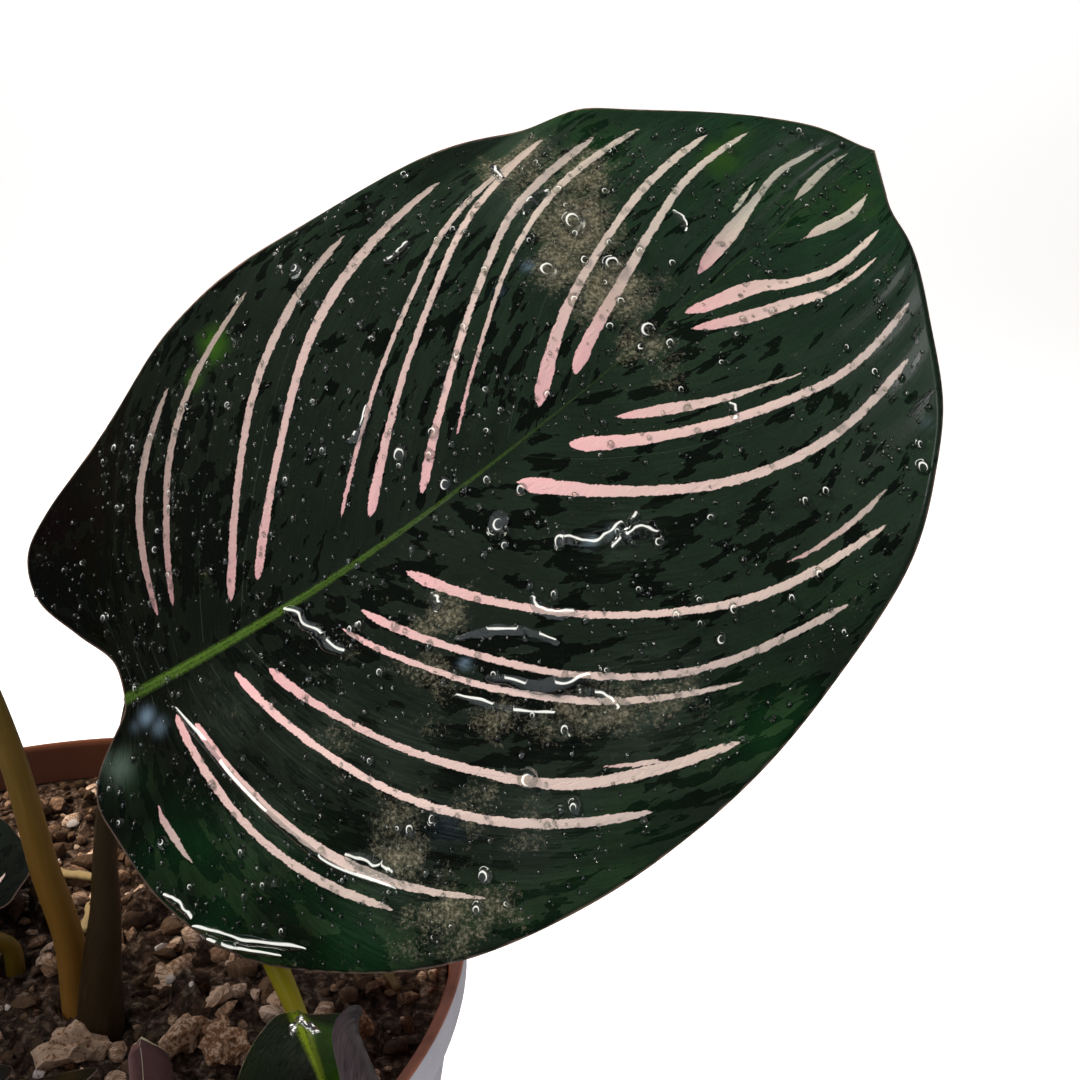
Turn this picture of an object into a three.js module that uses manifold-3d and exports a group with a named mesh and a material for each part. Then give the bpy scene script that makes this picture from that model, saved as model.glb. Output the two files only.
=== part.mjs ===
// Pinstripe calathea in its nursery pot: six leaves, each a blade on a sheathed stalk, rooted in bark soil.
// Millimetres, +Z up. The origin is the centre of the pot's underside, and -Y is the front of the pot.
import * as THREE from "three";
import { mergeVertices } from "three/addons/utils/BufferGeometryUtils.js";
import Module from "manifold-3d";

const wasm = await Module();
wasm.setup();

// Pot: thin tapered wall, thicker rim band, and a bottom that stands on a centre disc and an outer foot ring
const POT_HEIGHT = 120;
const RIM_RADIUS = 70;
const RIM_INNER_RADIUS = 68.4;
const RIM_BAND = 7;
const WALL = 1.1;
const WALL_TOP_RADIUS = 69.3;
const WALL_TAPER = 0.15;
const FLOOR = 1.2;
const DRAIN_RISE = 2;
const DRAIN_CHANNEL = [31, 45];
const DRAIN_HOLES = 8;
const DRAIN_HOLE_RADIUS = 4;
const POT_SEGMENTS = 40;

// Soil: its level below the rim, and the loose bark and pumice that stand out of it
const SOIL_DROP = 7.5;
const SOIL_GAP = 0.35;
const SOIL_UNEVENNESS = 0.9;
const SOIL_RINGS = 6;
const CHUNK_TRIES = 900;
const CHUNK_RADII = [3.2, 7];
const CHUNK_SPACING = 1.02;
const CHUNK_SEED = 20;

// Stalks: how deep they are rooted, and the room that each has in its hole
const ROOTED_DEPTH = 24;
const HOLE_CLEARANCE = 0.45;
const STALK_SIDES = 8;
const STALK_STEP = 4.5;
const BLADE_SEAT = 0.5;

// Blade: the full-grown leaf's outline, laid flat, with x along the midrib from the base, and y across it
const BLADE_LENGTH = 145;
const BLADE_THICKNESS = 0.62;
const LEFT_MARGIN = [
  [0, 0], [0, 6], [-4.5, 12.5], [-9.5, 20.5], [-9.5, 28], [-4.5, 33], [5, 38.5], [22, 47], [36, 50],
  [50, 51], [64, 50.2], [80, 48], [98, 43.5], [110, 39], [120, 33], [129, 25], [137.5, 14], [142, 7.5],
  [145, 0],
];
const RIGHT_MARGIN = [
  [0, 0], [-1, 2.2], [-6.5, 7.8], [-8.2, 12.5], [-6.3, 18.5], [-2, 29], [6, 39.5], [17, 46.5], [30, 52],
  [44, 54.3], [56, 54.5], [70, 52.8], [84, 50], [94, 47], [104, 42], [114.5, 35.5], [124, 26], [131, 18],
  [136, 10], [139.5, 6], [145, 0],
];

// Side veins at even steps from base to tip: where each leaves the midrib, and for each half of the blade
// the share of the margin's length where it ends and how far it bows towards the base. The veins next to the
// basal lobe, up to a share of the leaf, take on the shape of the lobe's inner margin.
const VEIN_START = [0, 2, 5, 9, 14, 21, 32, 48, 70, 100, BLADE_LENGTH];
const LEFT_VEINS = {
  end: [0.12, 0.2, 0.31, 0.44, 0.6, 0.7, 0.755, 0.805, 0.895, 0.973, 1],
  bow: [-0.3, 0, 0.24, 0.4, 0.42, 0.35, 0.26, 0.24, 0.23, 0.13, 0.05],
};
const RIGHT_VEINS = {
  end: [0.065, 0.16, 0.29, 0.43, 0.49, 0.55, 0.62, 0.74, 0.88, 0.935, 1],
  bow: [0.1, 0.1, 0.16, 0.23, 0.23, 0.22, 0.22, 0.3, 0.3, 0.17, 0.05],
};
const LOBE_BLEND = 0.25;

// Columns across half a blade, as shares of each vein, close together over the midrib's ridge
const COLUMNS = [0, 0.035, 0.09, 0.22, 0.38, 0.54, 0.7, 0.86, 1];
const MIDRIB_HEIGHT = 1.9;
const MIDRIB_HALF_WIDTH = 1.6;
const MIDRIB_RUN_IN = 3;
const VEIN_RELIEF = 0.22;
const UNROLLED_SHARE = 0.3;

// Each leaf: midrib as four control points and stalk way points, with heights counted from the rim. Facing is
// the way that the upper side looks. Each half leaves the midrib at a droop in degrees, and curls on from
// there by so many degrees a millimetre. A half that is still unrolling stays straight for its plain strip,
// and has only a share of its curl at the base, and the whole of it from UNROLLED_SHARE of the leaf on. Sweep
// draws the halves forward along the midrib. Stalk radii run from the sheath in the soil to the blade, and a
// stalk's last stretch runs along under the midrib for so many radii.
const LEAVES = [
  {
    name: "main_leaf",
    midrib: [[21.8, 1.2, 40.1], [69.2, -4, 67.6], [76.6, -2.4, 77.5], [133.7, 40.2, 116]],
    facing: [-0.1, -0.8, 0.6],
    breadth: 1,
    left: { droop: -6, curl: 0.2 },
    right: { droop: -4, curl: 0.25 },
    wave: 0.9,
    rows: 34,
    foot: [17.3, -10.4],
    stalk: [[18.2, -9, 4], [18.6, -6.6, 11], [18.4, -4, 18.4], [19, -1.2, 26], [21.2, 1.4, 33]],
    runIn: 0,
    radii: [3.4, 3.4, 3.4, 3.3, 2.7, 2, 1.6, 1.7, 1.5],
    colors: { blade: 0x0f2418, stalk: 0x2a1d12 },
  },
  {
    name: "left_leaf",
    midrib: [[-14, 2, 78], [-42, 7, 104], [-76, 14, 112], [-112, 20, 94]],
    facing: [0.25, -0.35, 0.9],
    breadth: 0.9,
    left: { droop: -8, curl: 0.35 },
    right: { droop: -8, curl: 0.3 },
    wave: 1.1,
    rows: 22,
    foot: [11.4, -4.2],
    stalk: [[11.6, -4.4, 4], [9.6, -4.5, 15.9], [6.8, -4, 34.6], [1, -2.2, 53], [-6.5, 0, 68]],
    runIn: 3,
    radii: [2.7, 2.4, 2.2, 2.1, 1.9, 1.8, 1.7, 1.8, 1.5],
    colors: { blade: 0x0f2418, stalk: 0x5a4412 },
  },
  {
    name: "low_back_leaf",
    midrib: [[-9, 2, 3], [-28, 8, 4.5], [-54, 18, 9], [-84, 32, 4]],
    facing: [0.1, -0.05, 1],
    breadth: 0.95,
    left: { droop: -8, curl: 0.4 },
    right: { droop: 3, curl: 0.3 },
    wave: 0.8,
    rows: 18,
    foot: [-1.5, 4],
    stalk: [[-1.9, 3.7, -3]],
    runIn: 2,
    radii: [2, 2, 1.9, 1.8, 1.6, 1.5, 1.4, 1.4, 1.2],
    colors: { blade: 0x12301c, stalk: 0x6a6a1c },
  },
  {
    name: "young_right_leaf",
    midrib: [[49.4, -23.3, 7], [52.6, -31.3, 9], [58.6, -45.5, 11], [66, -61, 6]],
    facing: [-0.05, -0.3, 0.95],
    breadth: 0.9,
    sweep: 0.5,
    left: { droop: 32, curl: -28, baseCurl: 0.2, plain: 2.5, breadth: 0.8 },
    right: { droop: -6, curl: 3.4 },
    wave: 0.3,
    rows: 18,
    foot: [40, 6],
    stalk: [[39.6, 3, -1.5], [40.4, -5.5, 5.5], [43.8, -14.5, 10]],
    runIn: 1.5,
    radii: [2.3, 2.2, 2, 1.8, 1.7, 1.7, 1.6, 1.5, 1.2],
    colors: { blade: 0x2b5a16, stalk: 0x6f7410 },
  },
  {
    name: "front_leaf",
    midrib: [[18.5, -39, 9.5], [12, -58, 19], [3, -86, 25], [-8, -112, 12]],
    facing: [0, 0.1, 1],
    breadth: 0.55,
    left: { droop: -14, curl: 0.3 },
    right: { droop: -2, curl: 0.45 },
    wave: 0.8,
    rows: 18,
    foot: [14.6, -31],
    stalk: [[15, -31.6, -3], [16.8, -33.6, 3]],
    runIn: 1.5,
    radii: [2.2, 2.2, 2.1, 1.9, 1.7, 1.6, 1.5, 1.5, 1.2],
    colors: { blade: 0x16371d, stalk: 0x4d5218 },
  },
  {
    name: "rolled_leaf",
    midrib: [[36, -45.4, -1.5], [36.2, -44, 6], [36.5, -41.5, 14], [36.9, -43.5, 20]],
    facing: [0.1, 0.95, -0.25],
    breadth: 0.5,
    left: { droop: 6, curl: -30 },
    right: { droop: 6, curl: -30 },
    wave: 0,
    rows: 10,
    foot: [36, -46.5],
    stalk: [],
    runIn: 0,
    radii: [1.3, 1.3, 1.2, 1.1, 1],
    colors: { blade: 0x5a3a38, stalk: 0x6a6a30 },
  },
];

// A seeded draw, so that the soil comes out alike every time
function seededRandom(seed) {
  let state = seed;
  return () => {
    state = (state * 1664525 + 1013904223) % 4294967296;
    return state / 4294967296;
  };
}

function fromRim(point) {
  return new THREE.Vector3(point[0], point[1], point[2] + POT_HEIGHT);
}

// A smooth curve through values that stand at even steps, read at a share from 0 to 1
function readEven(values, share) {
  const place = Math.min(share, 1) * (values.length - 1);
  const i = Math.min(Math.floor(place), values.length - 2);
  const t = place - i;
  const before = values[Math.max(i - 1, 0)];
  const after = values[Math.min(i + 2, values.length - 1)];
  const slopeA = (values[i + 1] - before) / 2;
  const slopeB = (after - values[i]) / 2;
  const rise = values[i + 1] - values[i];
  return values[i] + t * (slopeA + t * (3 * rise - 2 * slopeA - slopeB + t * (slopeA + slopeB - 2 * rise)));
}

// A closed body from triangles of points, without those that shrink to a line at a pointed end
function bodyFromTriangles(triangles) {
  const positions = [];
  for (const [a, b, c] of triangles) {
    if (a.equals(b) || b.equals(c) || c.equals(a)) continue;
    for (const p of [a, b, c]) positions.push(p.x, p.y, p.z);
  }
  const geometry = new THREE.BufferGeometry();
  geometry.setAttribute("position", new THREE.Float32BufferAttribute(positions, 3));
  geometry.computeVertexNormals();
  return geometry;
}

// A geometry with positions only, so that vertices at one place can be merged
function stripped(geometry) {
  for (const name of ["normal", "uv"]) geometry.deleteAttribute(name);
  return geometry;
}

// Solids for the cuts and joins, and back
function toSolid(geometry) {
  const merged = mergeVertices(stripped(geometry.clone()), 1e-4);
  return new wasm.Manifold(new wasm.Mesh({
    numProp: 3,
    vertProperties: new Float32Array(merged.attributes.position.array),
    triVerts: new Uint32Array(merged.index.array),
  }));
}

function toGeometry(solid) {
  const mesh = solid.getMesh();
  const geometry = new THREE.BufferGeometry();
  geometry.setAttribute("position", new THREE.BufferAttribute(mesh.vertProperties, 3));
  geometry.setIndex(new THREE.BufferAttribute(mesh.triVerts, 1));
  return geometry;
}

// The margin of half a blade, which is read by the share of its length
function marginCurve(points) {
  return new THREE.SplineCurve(points.map(([x, y]) => new THREE.Vector2(x, y)));
}

const HALVES = {
  left: { side: 1, margin: marginCurve(LEFT_MARGIN), veins: LEFT_VEINS },
  right: { side: -1, margin: marginCurve(RIGHT_MARGIN), veins: RIGHT_VEINS },
};

// A place on a side vein of the flat blade, which bows as a simple curve from the midrib to the margin
function veinPoint(half, along, across) {
  const start = new THREE.Vector2(readEven(VEIN_START, along), 0);
  const end = half.margin.getPointAt(Math.min(readEven(half.veins.end, along), 1));
  const chord = end.clone().sub(start);
  const bow = readEven(half.veins.bow, along);
  const bend = new THREE.Vector2(-chord.y, chord.x).multiplyScalar(bow);
  const middle = start.clone().addScaledVector(chord, 0.5).add(bend);
  const rest = 1 - across;
  return start.multiplyScalar(rest * rest)
    .addScaledVector(middle, 2 * across * rest)
    .addScaledVector(end, across * across);
}

// A place on the flat blade: a share along the leaf picks the vein, and a share along it the place on it. The
// first vein is the inner margin of the basal lobe, and the ones after it turn into plain veins.
function flatPoint(half, along, across) {
  const point = veinPoint(half, along, across);
  const lobeShare = Math.max(1 - along / LOBE_BLEND, 0) ** 2;
  if (lobeShare === 0) return point;
  const lobe = half.margin.getPointAt(half.veins.end[0] * across);
  return point.addScaledVector(lobe.sub(veinPoint(half, 0, across)), lobeShare);
}

// The midrib of a leaf in space, with its directions: along it, out to the right, and up from the blade
function midribOf(leaf) {
  const curve = new THREE.CubicBezierCurve3(...leaf.midrib.map(fromRim));
  const length = curve.getLength();
  const facing = new THREE.Vector3(...leaf.facing);
  const at = (x) => {
    const inside = Math.min(Math.max(x, 0), length);
    const along = curve.getTangentAt(inside / length);
    const right = along.clone().cross(facing).normalize();
    const up = right.clone().cross(along);
    const point = curve.getPointAt(inside / length).addScaledVector(along, x - inside);
    return { point, along, right, up };
  };
  return { at, length, scale: length / BLADE_LENGTH };
}

// A place on the bent blade, and the way its upper side faces there
function bladePlace(leaf, midrib, sideName, row, column) {
  const half = HALVES[sideName];
  const { droop, curl, baseCurl = 1, plain = 0, breadth = leaf.breadth } = leaf[sideName];
  const { sweep = 0 } = leaf;
  const along = row / leaf.rows;
  const across = COLUMNS[column];
  const flat = flatPoint(half, along, across).multiplyScalar(midrib.scale);
  flat.x += sweep * flat.y;
  const width = flat.y * breadth;
  const straight = Math.min(width, plain);
  const { point, right, up } = midrib.at(flat.x);
  const first = THREE.MathUtils.degToRad(droop);
  const unrolled = THREE.MathUtils.smoothstep(flat.x / midrib.length, 0, UNROLLED_SHARE);
  const turn = THREE.MathUtils.degToRad(curl) * (baseCurl + (1 - baseCurl) * unrolled);
  const last = first + turn * (width - straight);
  const out = straight * Math.cos(first) + (Math.sin(last) - Math.sin(first)) / turn;
  const down = straight * Math.sin(first) + (Math.cos(first) - Math.cos(last)) / turn;
  point.addScaledVector(right, -half.side * out).addScaledVector(up, -down);

  const onMidrib = column === 0 || row === leaf.rows;
  const tilt = onMidrib ? 0 : last;
  const normal = up.clone().multiplyScalar(Math.cos(tilt));
  normal.addScaledVector(right, -half.side * Math.sin(tilt)).normalize();
  const ripple = leaf.wave * across ** 3 * Math.sin(along * Math.PI) * Math.sin(along * 10 * Math.PI);
  const relief = VEIN_RELIEF * Math.sin(across * Math.PI) * (row % 2 ? 1 : -1) * midrib.scale;
  if (!onMidrib) point.addScaledVector(normal, ripple + relief);

  const ridgeStart = THREE.MathUtils.smoothstep(flat.x, 0, MIDRIB_RUN_IN * midrib.scale);
  const ridgeHeight = MIDRIB_HEIGHT * (1.08 - flat.x / midrib.length) * midrib.scale;
  const ridgeShape = Math.exp(-((flat.y / (MIDRIB_HALF_WIDTH * midrib.scale)) ** 2));
  const thickness = BLADE_THICKNESS + ridgeStart * ridgeHeight * ridgeShape;
  return { top: point, bottom: point.clone().addScaledVector(normal, -thickness) };
}

// The blade as one closed body: the upper and lower faces are split alike, with a wall between them along the
// margin and across the narrow end that sits on the stalk
function bladeGeometry(leaf) {
  const midrib = midribOf(leaf);
  const lastColumn = COLUMNS.length - 1;
  const triangles = [];
  const addQuad = (a, b, c, d, flip) => {
    const ordered = flip ? [[a, c, b], [a, d, c]] : [[a, b, c], [a, c, d]];
    triangles.push(...ordered);
  };
  for (const sideName of ["left", "right"]) {
    const flip = sideName === "right";
    const grid = [];
    for (let row = 0; row <= leaf.rows; row += 1) {
      grid.push(COLUMNS.map((_, column) => bladePlace(leaf, midrib, sideName, row, column)));
    }
    for (let row = 0; row < leaf.rows; row += 1) {
      for (let column = 0; column < lastColumn; column += 1) {
        const corners = [grid[row][column], grid[row + 1][column], grid[row + 1][column + 1],
          grid[row][column + 1]];
        addQuad(...corners.map((corner) => corner.top), flip);
        addQuad(...corners.map((corner) => corner.bottom), !flip);
      }
      const here = grid[row][lastColumn];
      const next = grid[row + 1][lastColumn];
      addQuad(here.top, next.top, next.bottom, here.bottom, flip);
    }
    for (let column = 0; column < lastColumn; column += 1) {
      const inner = grid[0][column];
      const outer = grid[0][column + 1];
      addQuad(inner.top, outer.top, outer.bottom, inner.bottom, flip);
    }
  }
  return bodyFromTriangles(triangles);
}

// The way a stalk takes: straight up out of its hole, through its way points, and up to the blade's base from
// behind
function stalkCurve(leaf) {
  const midrib = midribOf(leaf);
  const base = midrib.at(0);
  const radius = leaf.radii[leaf.radii.length - 1];
  const end = base.point.clone()
    .addScaledVector(base.up, -(radius + BLADE_THICKNESS + BLADE_SEAT))
    .addScaledVector(base.along, -BLADE_SEAT);
  const approach = end.clone().addScaledVector(base.along, -leaf.runIn * radius);
  const rooted = [-SOIL_DROP - ROOTED_DEPTH, -SOIL_DROP - ROOTED_DEPTH / 2, -SOIL_DROP - 1];
  const points = [
    ...rooted.map((height) => fromRim([...leaf.foot, height])),
    ...leaf.stalk.map(fromRim),
    ...(leaf.runIn > 0 ? [approach] : []),
    end,
  ];
  return new THREE.CatmullRomCurve3(points, false, "centripetal");
}

function stalkGeometry(leaf) {
  const curve = stalkCurve(leaf);
  const steps = Math.max(8, Math.round(curve.getLength() / STALK_STEP));
  const frames = curve.computeFrenetFrames(steps, false);
  const rings = [];
  for (let step = 0; step <= steps; step += 1) {
    const centre = curve.getPointAt(step / steps);
    const radius = readEven(leaf.radii, step / steps);
    const ring = [];
    for (let side = 0; side < STALK_SIDES; side += 1) {
      const angle = (side / STALK_SIDES) * 2 * Math.PI;
      const outward = frames.normals[step].clone().multiplyScalar(Math.cos(angle) * radius);
      outward.addScaledVector(frames.binormals[step], Math.sin(angle) * radius);
      ring.push(centre.clone().add(outward));
    }
    rings.push({ centre, ring });
  }
  const triangles = [];
  const first = rings[0];
  const last = rings[steps];
  for (let side = 0; side < STALK_SIDES; side += 1) {
    const next = (side + 1) % STALK_SIDES;
    triangles.push([first.centre, first.ring[next], first.ring[side]]);
    triangles.push([last.centre, last.ring[side], last.ring[next]]);
    for (let step = 0; step < steps; step += 1) {
      const low = rings[step].ring;
      const high = rings[step + 1].ring;
      triangles.push([low[side], low[next], high[next]], [low[side], high[next], high[side]]);
    }
  }
  return bodyFromTriangles(triangles);
}

function wallOuterRadius(z) {
  return WALL_TOP_RADIUS - WALL_TAPER * (POT_HEIGHT - z);
}

function wallInnerRadius(z) {
  return wallOuterRadius(z) - WALL;
}

// Lathes and cylinders are made about Y: this stands them on Z
function upright(geometry) {
  return geometry.rotateX(Math.PI / 2);
}

// The pot is turned from one profile, and its drain holes are cut through the raised channel of the bottom
function potGeometry() {
  const [channelIn, channelOut] = DRAIN_CHANNEL;
  const bandFoot = POT_HEIGHT - RIM_BAND;
  const profile = [
    [0, 0], [channelIn - DRAIN_RISE, 0], [channelIn, DRAIN_RISE], [channelOut, DRAIN_RISE],
    [channelOut + DRAIN_RISE, 0], [wallOuterRadius(0) - 0.8, 0], [wallOuterRadius(0.8), 0.8],
    [wallOuterRadius(bandFoot), bandFoot], [RIM_RADIUS - 0.2, bandFoot + 0.5],
    [RIM_RADIUS, POT_HEIGHT - 0.5], [RIM_RADIUS - 0.5, POT_HEIGHT], [RIM_INNER_RADIUS + 0.3, POT_HEIGHT],
    [wallInnerRadius(POT_HEIGHT - 1), POT_HEIGHT - 1],
    [wallInnerRadius(FLOOR), FLOOR], [channelOut + DRAIN_RISE - 0.6, FLOOR],
    [channelOut - 0.6, FLOOR + DRAIN_RISE], [channelIn + 0.6, FLOOR + DRAIN_RISE],
    [channelIn + 0.6 - DRAIN_RISE, FLOOR], [0, FLOOR],
  ];
  const points = profile.map(([radius, z]) => new THREE.Vector2(radius, z));
  let pot = toSolid(upright(new THREE.LatheGeometry(points, POT_SEGMENTS)));
  const middle = (channelIn + channelOut) / 2;
  for (let hole = 0; hole < DRAIN_HOLES; hole += 1) {
    const angle = ((hole + 0.5) / DRAIN_HOLES) * 2 * Math.PI;
    const drill = upright(new THREE.CylinderGeometry(DRAIN_HOLE_RADIUS, DRAIN_HOLE_RADIUS, 20, 12));
    drill.translate(middle * Math.cos(angle), middle * Math.sin(angle), 0);
    pot = pot.subtract(toSolid(drill));
  }
  return toGeometry(pot);
}

// Low waves of the soil's surface, level at the wall of the pot
function soilHeight(x, y) {
  const reach = Math.hypot(x, y) / RIM_RADIUS;
  const waves = Math.sin(x * 0.21 + 0.6) * Math.cos(y * 0.17) + 0.6 * Math.sin(y * 0.33 - x * 0.12);
  return POT_HEIGHT - SOIL_DROP + SOIL_UNEVENNESS * waves * (1 - reach ** 4);
}

function soilBody() {
  const bottom = FLOOR + DRAIN_RISE + SOIL_GAP;
  const top = POT_HEIGHT - SOIL_DROP;
  const topRadius = wallInnerRadius(top) - SOIL_GAP;
  const bottomRadius = wallInnerRadius(bottom) - SOIL_GAP;
  const place = (radius, segment, z) => {
    const angle = (segment / POT_SEGMENTS) * 2 * Math.PI;
    const point = new THREE.Vector3(radius * Math.cos(angle), radius * Math.sin(angle), z);
    if (z === undefined) point.z = radius === topRadius ? top : soilHeight(point.x, point.y);
    return point;
  };
  const triangles = [];
  const centreTop = new THREE.Vector3(0, 0, soilHeight(0, 0));
  const centreBottom = new THREE.Vector3(0, 0, bottom);
  for (let segment = 0; segment < POT_SEGMENTS; segment += 1) {
    const next = (segment + 1) % POT_SEGMENTS;
    const inner = topRadius / SOIL_RINGS;
    triangles.push([centreTop, place(inner, segment), place(inner, next)]);
    for (let ring = 1; ring < SOIL_RINGS; ring += 1) {
      const near = (topRadius * ring) / SOIL_RINGS;
      const far = ring + 1 === SOIL_RINGS ? topRadius : (topRadius * (ring + 1)) / SOIL_RINGS;
      triangles.push([place(near, segment), place(far, segment), place(far, next)]);
      triangles.push([place(near, segment), place(far, next), place(near, next)]);
    }
    const low = [place(bottomRadius, segment, bottom), place(bottomRadius, next, bottom)];
    triangles.push([place(topRadius, segment), low[0], low[1]]);
    triangles.push([place(topRadius, segment), low[1], place(topRadius, next)]);
    triangles.push([centreBottom, low[1], low[0]]);
  }
  return toSolid(bodyFromTriangles(triangles));
}

// One angular piece of bark or pumice, flattened, turned at random and sunk into the soil
function chunkSolid(random, x, y, radius) {
  const geometry = mergeVertices(stripped(new THREE.IcosahedronGeometry(radius, 0)), 1e-3);
  const position = geometry.attributes.position;
  for (let i = 0; i < position.count; i += 1) {
    const stretch = 0.75 + 0.45 * random();
    position.setXYZ(i, position.getX(i) * stretch, position.getY(i) * stretch, position.getZ(i) * stretch);
  }
  geometry.scale(1, 0.55 + 0.4 * random(), 0.5 + 0.3 * random());
  geometry.rotateX((random() - 0.5) * 0.9);
  geometry.rotateY((random() - 0.5) * 0.9);
  geometry.rotateZ(random() * 2 * Math.PI);
  geometry.translate(x, y, soilHeight(x, y) + radius * 0.12);
  return toSolid(geometry);
}

// Whether a place on the soil is clear of every stalk, as far up as a chunk can reach
function clearOfStalks(curves, x, y, room) {
  const reach = POT_HEIGHT - SOIL_DROP + 2 * CHUNK_RADII[1];
  return curves.every((points) => points.every((point) => (
    point.z > reach || Math.hypot(point.x - x, point.y - y) > room
  )));
}

function soilGeometry() {
  const random = seededRandom(CHUNK_SEED);
  const [leastRadius, mostRadius] = CHUNK_RADII;
  const curves = LEAVES.map((leaf) => stalkCurve(leaf).getSpacedPoints(40));
  const widestStalk = Math.max(...LEAVES.flatMap((leaf) => leaf.radii));
  const placed = [];
  let soil = soilBody();
  for (let attempt = 0; attempt < CHUNK_TRIES; attempt += 1) {
    const radius = leastRadius + (mostRadius - leastRadius) * random() ** 2;
    const distance = (wallInnerRadius(POT_HEIGHT - SOIL_DROP) - 1.4 * radius - 1) * Math.sqrt(random());
    const angle = random() * 2 * Math.PI;
    const x = distance * Math.cos(angle);
    const y = distance * Math.sin(angle);
    const apart = placed.every((other) => (
      Math.hypot(other.x - x, other.y - y) > CHUNK_SPACING * (other.radius + radius)
    ));
    if (!apart || !clearOfStalks(curves, x, y, widestStalk + 1.2 * radius + 0.6)) continue;
    placed.push({ x, y, radius });
    soil = soil.add(chunkSolid(random, x, y, radius));
  }
  for (const leaf of LEAVES) {
    const radius = Math.max(...leaf.radii) + HOLE_CLEARANCE;
    const depth = ROOTED_DEPTH + 1;
    const drill = upright(new THREE.CylinderGeometry(radius, radius, 2 * depth, 14));
    drill.translate(leaf.foot[0], leaf.foot[1], POT_HEIGHT - SOIL_DROP);
    soil = soil.subtract(toSolid(drill));
  }
  return toGeometry(soil);
}

function addMesh(group, name, geometry, color, roughness) {
  const mesh = new THREE.Mesh(geometry, new THREE.MeshStandardMaterial({ color, roughness, metalness: 0 }));
  mesh.name = name;
  group.add(mesh);
}

const plant = new THREE.Group();
addMesh(plant, "pot", potGeometry(), 0xc8c6d0, 0.45);
addMesh(plant, "soil", soilGeometry(), 0x4a3a30, 0.95);
for (const leaf of LEAVES) {
  addMesh(plant, `${leaf.name}_blade`, bladeGeometry(leaf), leaf.colors.blade, 0.25);
  addMesh(plant, `${leaf.name}_stalk`, stalkGeometry(leaf), leaf.colors.stalk, 0.4);
}

export default plant;
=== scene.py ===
import math
from functools import partial

import bmesh
import bpy
import numpy as np
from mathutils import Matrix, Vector, noise
from mathutils.bvhtree import BVHTree


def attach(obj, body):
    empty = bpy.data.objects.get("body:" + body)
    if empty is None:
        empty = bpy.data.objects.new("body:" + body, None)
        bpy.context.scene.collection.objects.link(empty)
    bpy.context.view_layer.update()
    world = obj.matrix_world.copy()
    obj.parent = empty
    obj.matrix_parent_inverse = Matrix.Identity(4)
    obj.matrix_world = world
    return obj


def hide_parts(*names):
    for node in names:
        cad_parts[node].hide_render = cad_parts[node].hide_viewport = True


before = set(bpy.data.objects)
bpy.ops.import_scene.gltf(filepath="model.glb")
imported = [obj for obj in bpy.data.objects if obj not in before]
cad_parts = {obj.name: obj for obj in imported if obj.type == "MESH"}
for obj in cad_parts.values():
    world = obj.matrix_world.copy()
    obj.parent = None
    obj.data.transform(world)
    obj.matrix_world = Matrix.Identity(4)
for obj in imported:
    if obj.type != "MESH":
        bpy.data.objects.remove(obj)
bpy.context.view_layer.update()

MM = 0.001
SCENE = bpy.context.scene

# The camera stands close in front of the leaf, where the photograph was taken from
CAMERA_PLACE = (81.3, -149.8, 230.4)
CAMERA_DOWN = 17.03
CAMERA_LENS = 38.333
CAMERA_SENSOR = 36

# Pot and soil, as in the part
POT_HEIGHT = 120
RIM_RADIUS = 70
RIM_INNER_RADIUS = 68.4
RIM_BAND = 7
WALL = 1.1
WALL_TOP_RADIUS = 69.3
WALL_TAPER = 0.15
FLOOR = 1.2
DRAIN_RISE = 2
DRAIN_CHANNEL = (31, 45)
DRAIN_HOLES = 8
DRAIN_HOLE_RADIUS = 4
SOIL_DROP = 7.5
SOIL_LEVEL = POT_HEIGHT - SOIL_DROP
SOIL_GAP = 0.35
ROOTED_DEPTH = 24

# The full-grown blade laid flat, as in the part: x runs along the midrib and y out to the margin
BLADE_LENGTH = 145
BLADE_THICKNESS = 0.62
BLADE_SEAT = 0.5
MIDRIB_HEIGHT = 1.9
MIDRIB_HALF_WIDTH = 1.6
MIDRIB_RUN_IN = 3
LOBE_BLEND = 0.25
VEIN_START = [0, 2, 5, 9, 14, 21, 32, 48, 70, 100, BLADE_LENGTH]
LEFT_MARGIN = [
    (0, 0), (0, 6), (-4.5, 12.5), (-9.5, 20.5), (-9.5, 28), (-4.5, 33), (5, 38.5), (22, 47), (36, 50),
    (50, 51), (64, 50.2), (80, 48), (98, 43.5), (110, 39), (120, 33), (129, 25), (137.5, 14), (142, 7.5),
    (145, 0),
]
RIGHT_MARGIN = [
    (0, 0), (-1, 2.2), (-6.5, 7.8), (-8.2, 12.5), (-6.3, 18.5), (-2, 29), (6, 39.5), (17, 46.5), (30, 52),
    (44, 54.3), (56, 54.5), (70, 52.8), (84, 50), (94, 47), (104, 42), (114.5, 35.5), (124, 26), (131, 18),
    (136, 10), (139.5, 6), (145, 0),
]
LEFT_ENDS = [0.12, 0.2, 0.31, 0.44, 0.6, 0.7, 0.755, 0.805, 0.895, 0.973, 1]
LEFT_BOWS = [-0.3, 0, 0.24, 0.4, 0.42, 0.35, 0.26, 0.24, 0.23, 0.13, 0.05]
RIGHT_ENDS = [0.065, 0.16, 0.29, 0.43, 0.49, 0.55, 0.62, 0.74, 0.88, 0.935, 1]
RIGHT_BOWS = [0.1, 0.1, 0.16, 0.23, 0.23, 0.22, 0.22, 0.3, 0.3, 0.17, 0.05]

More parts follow.
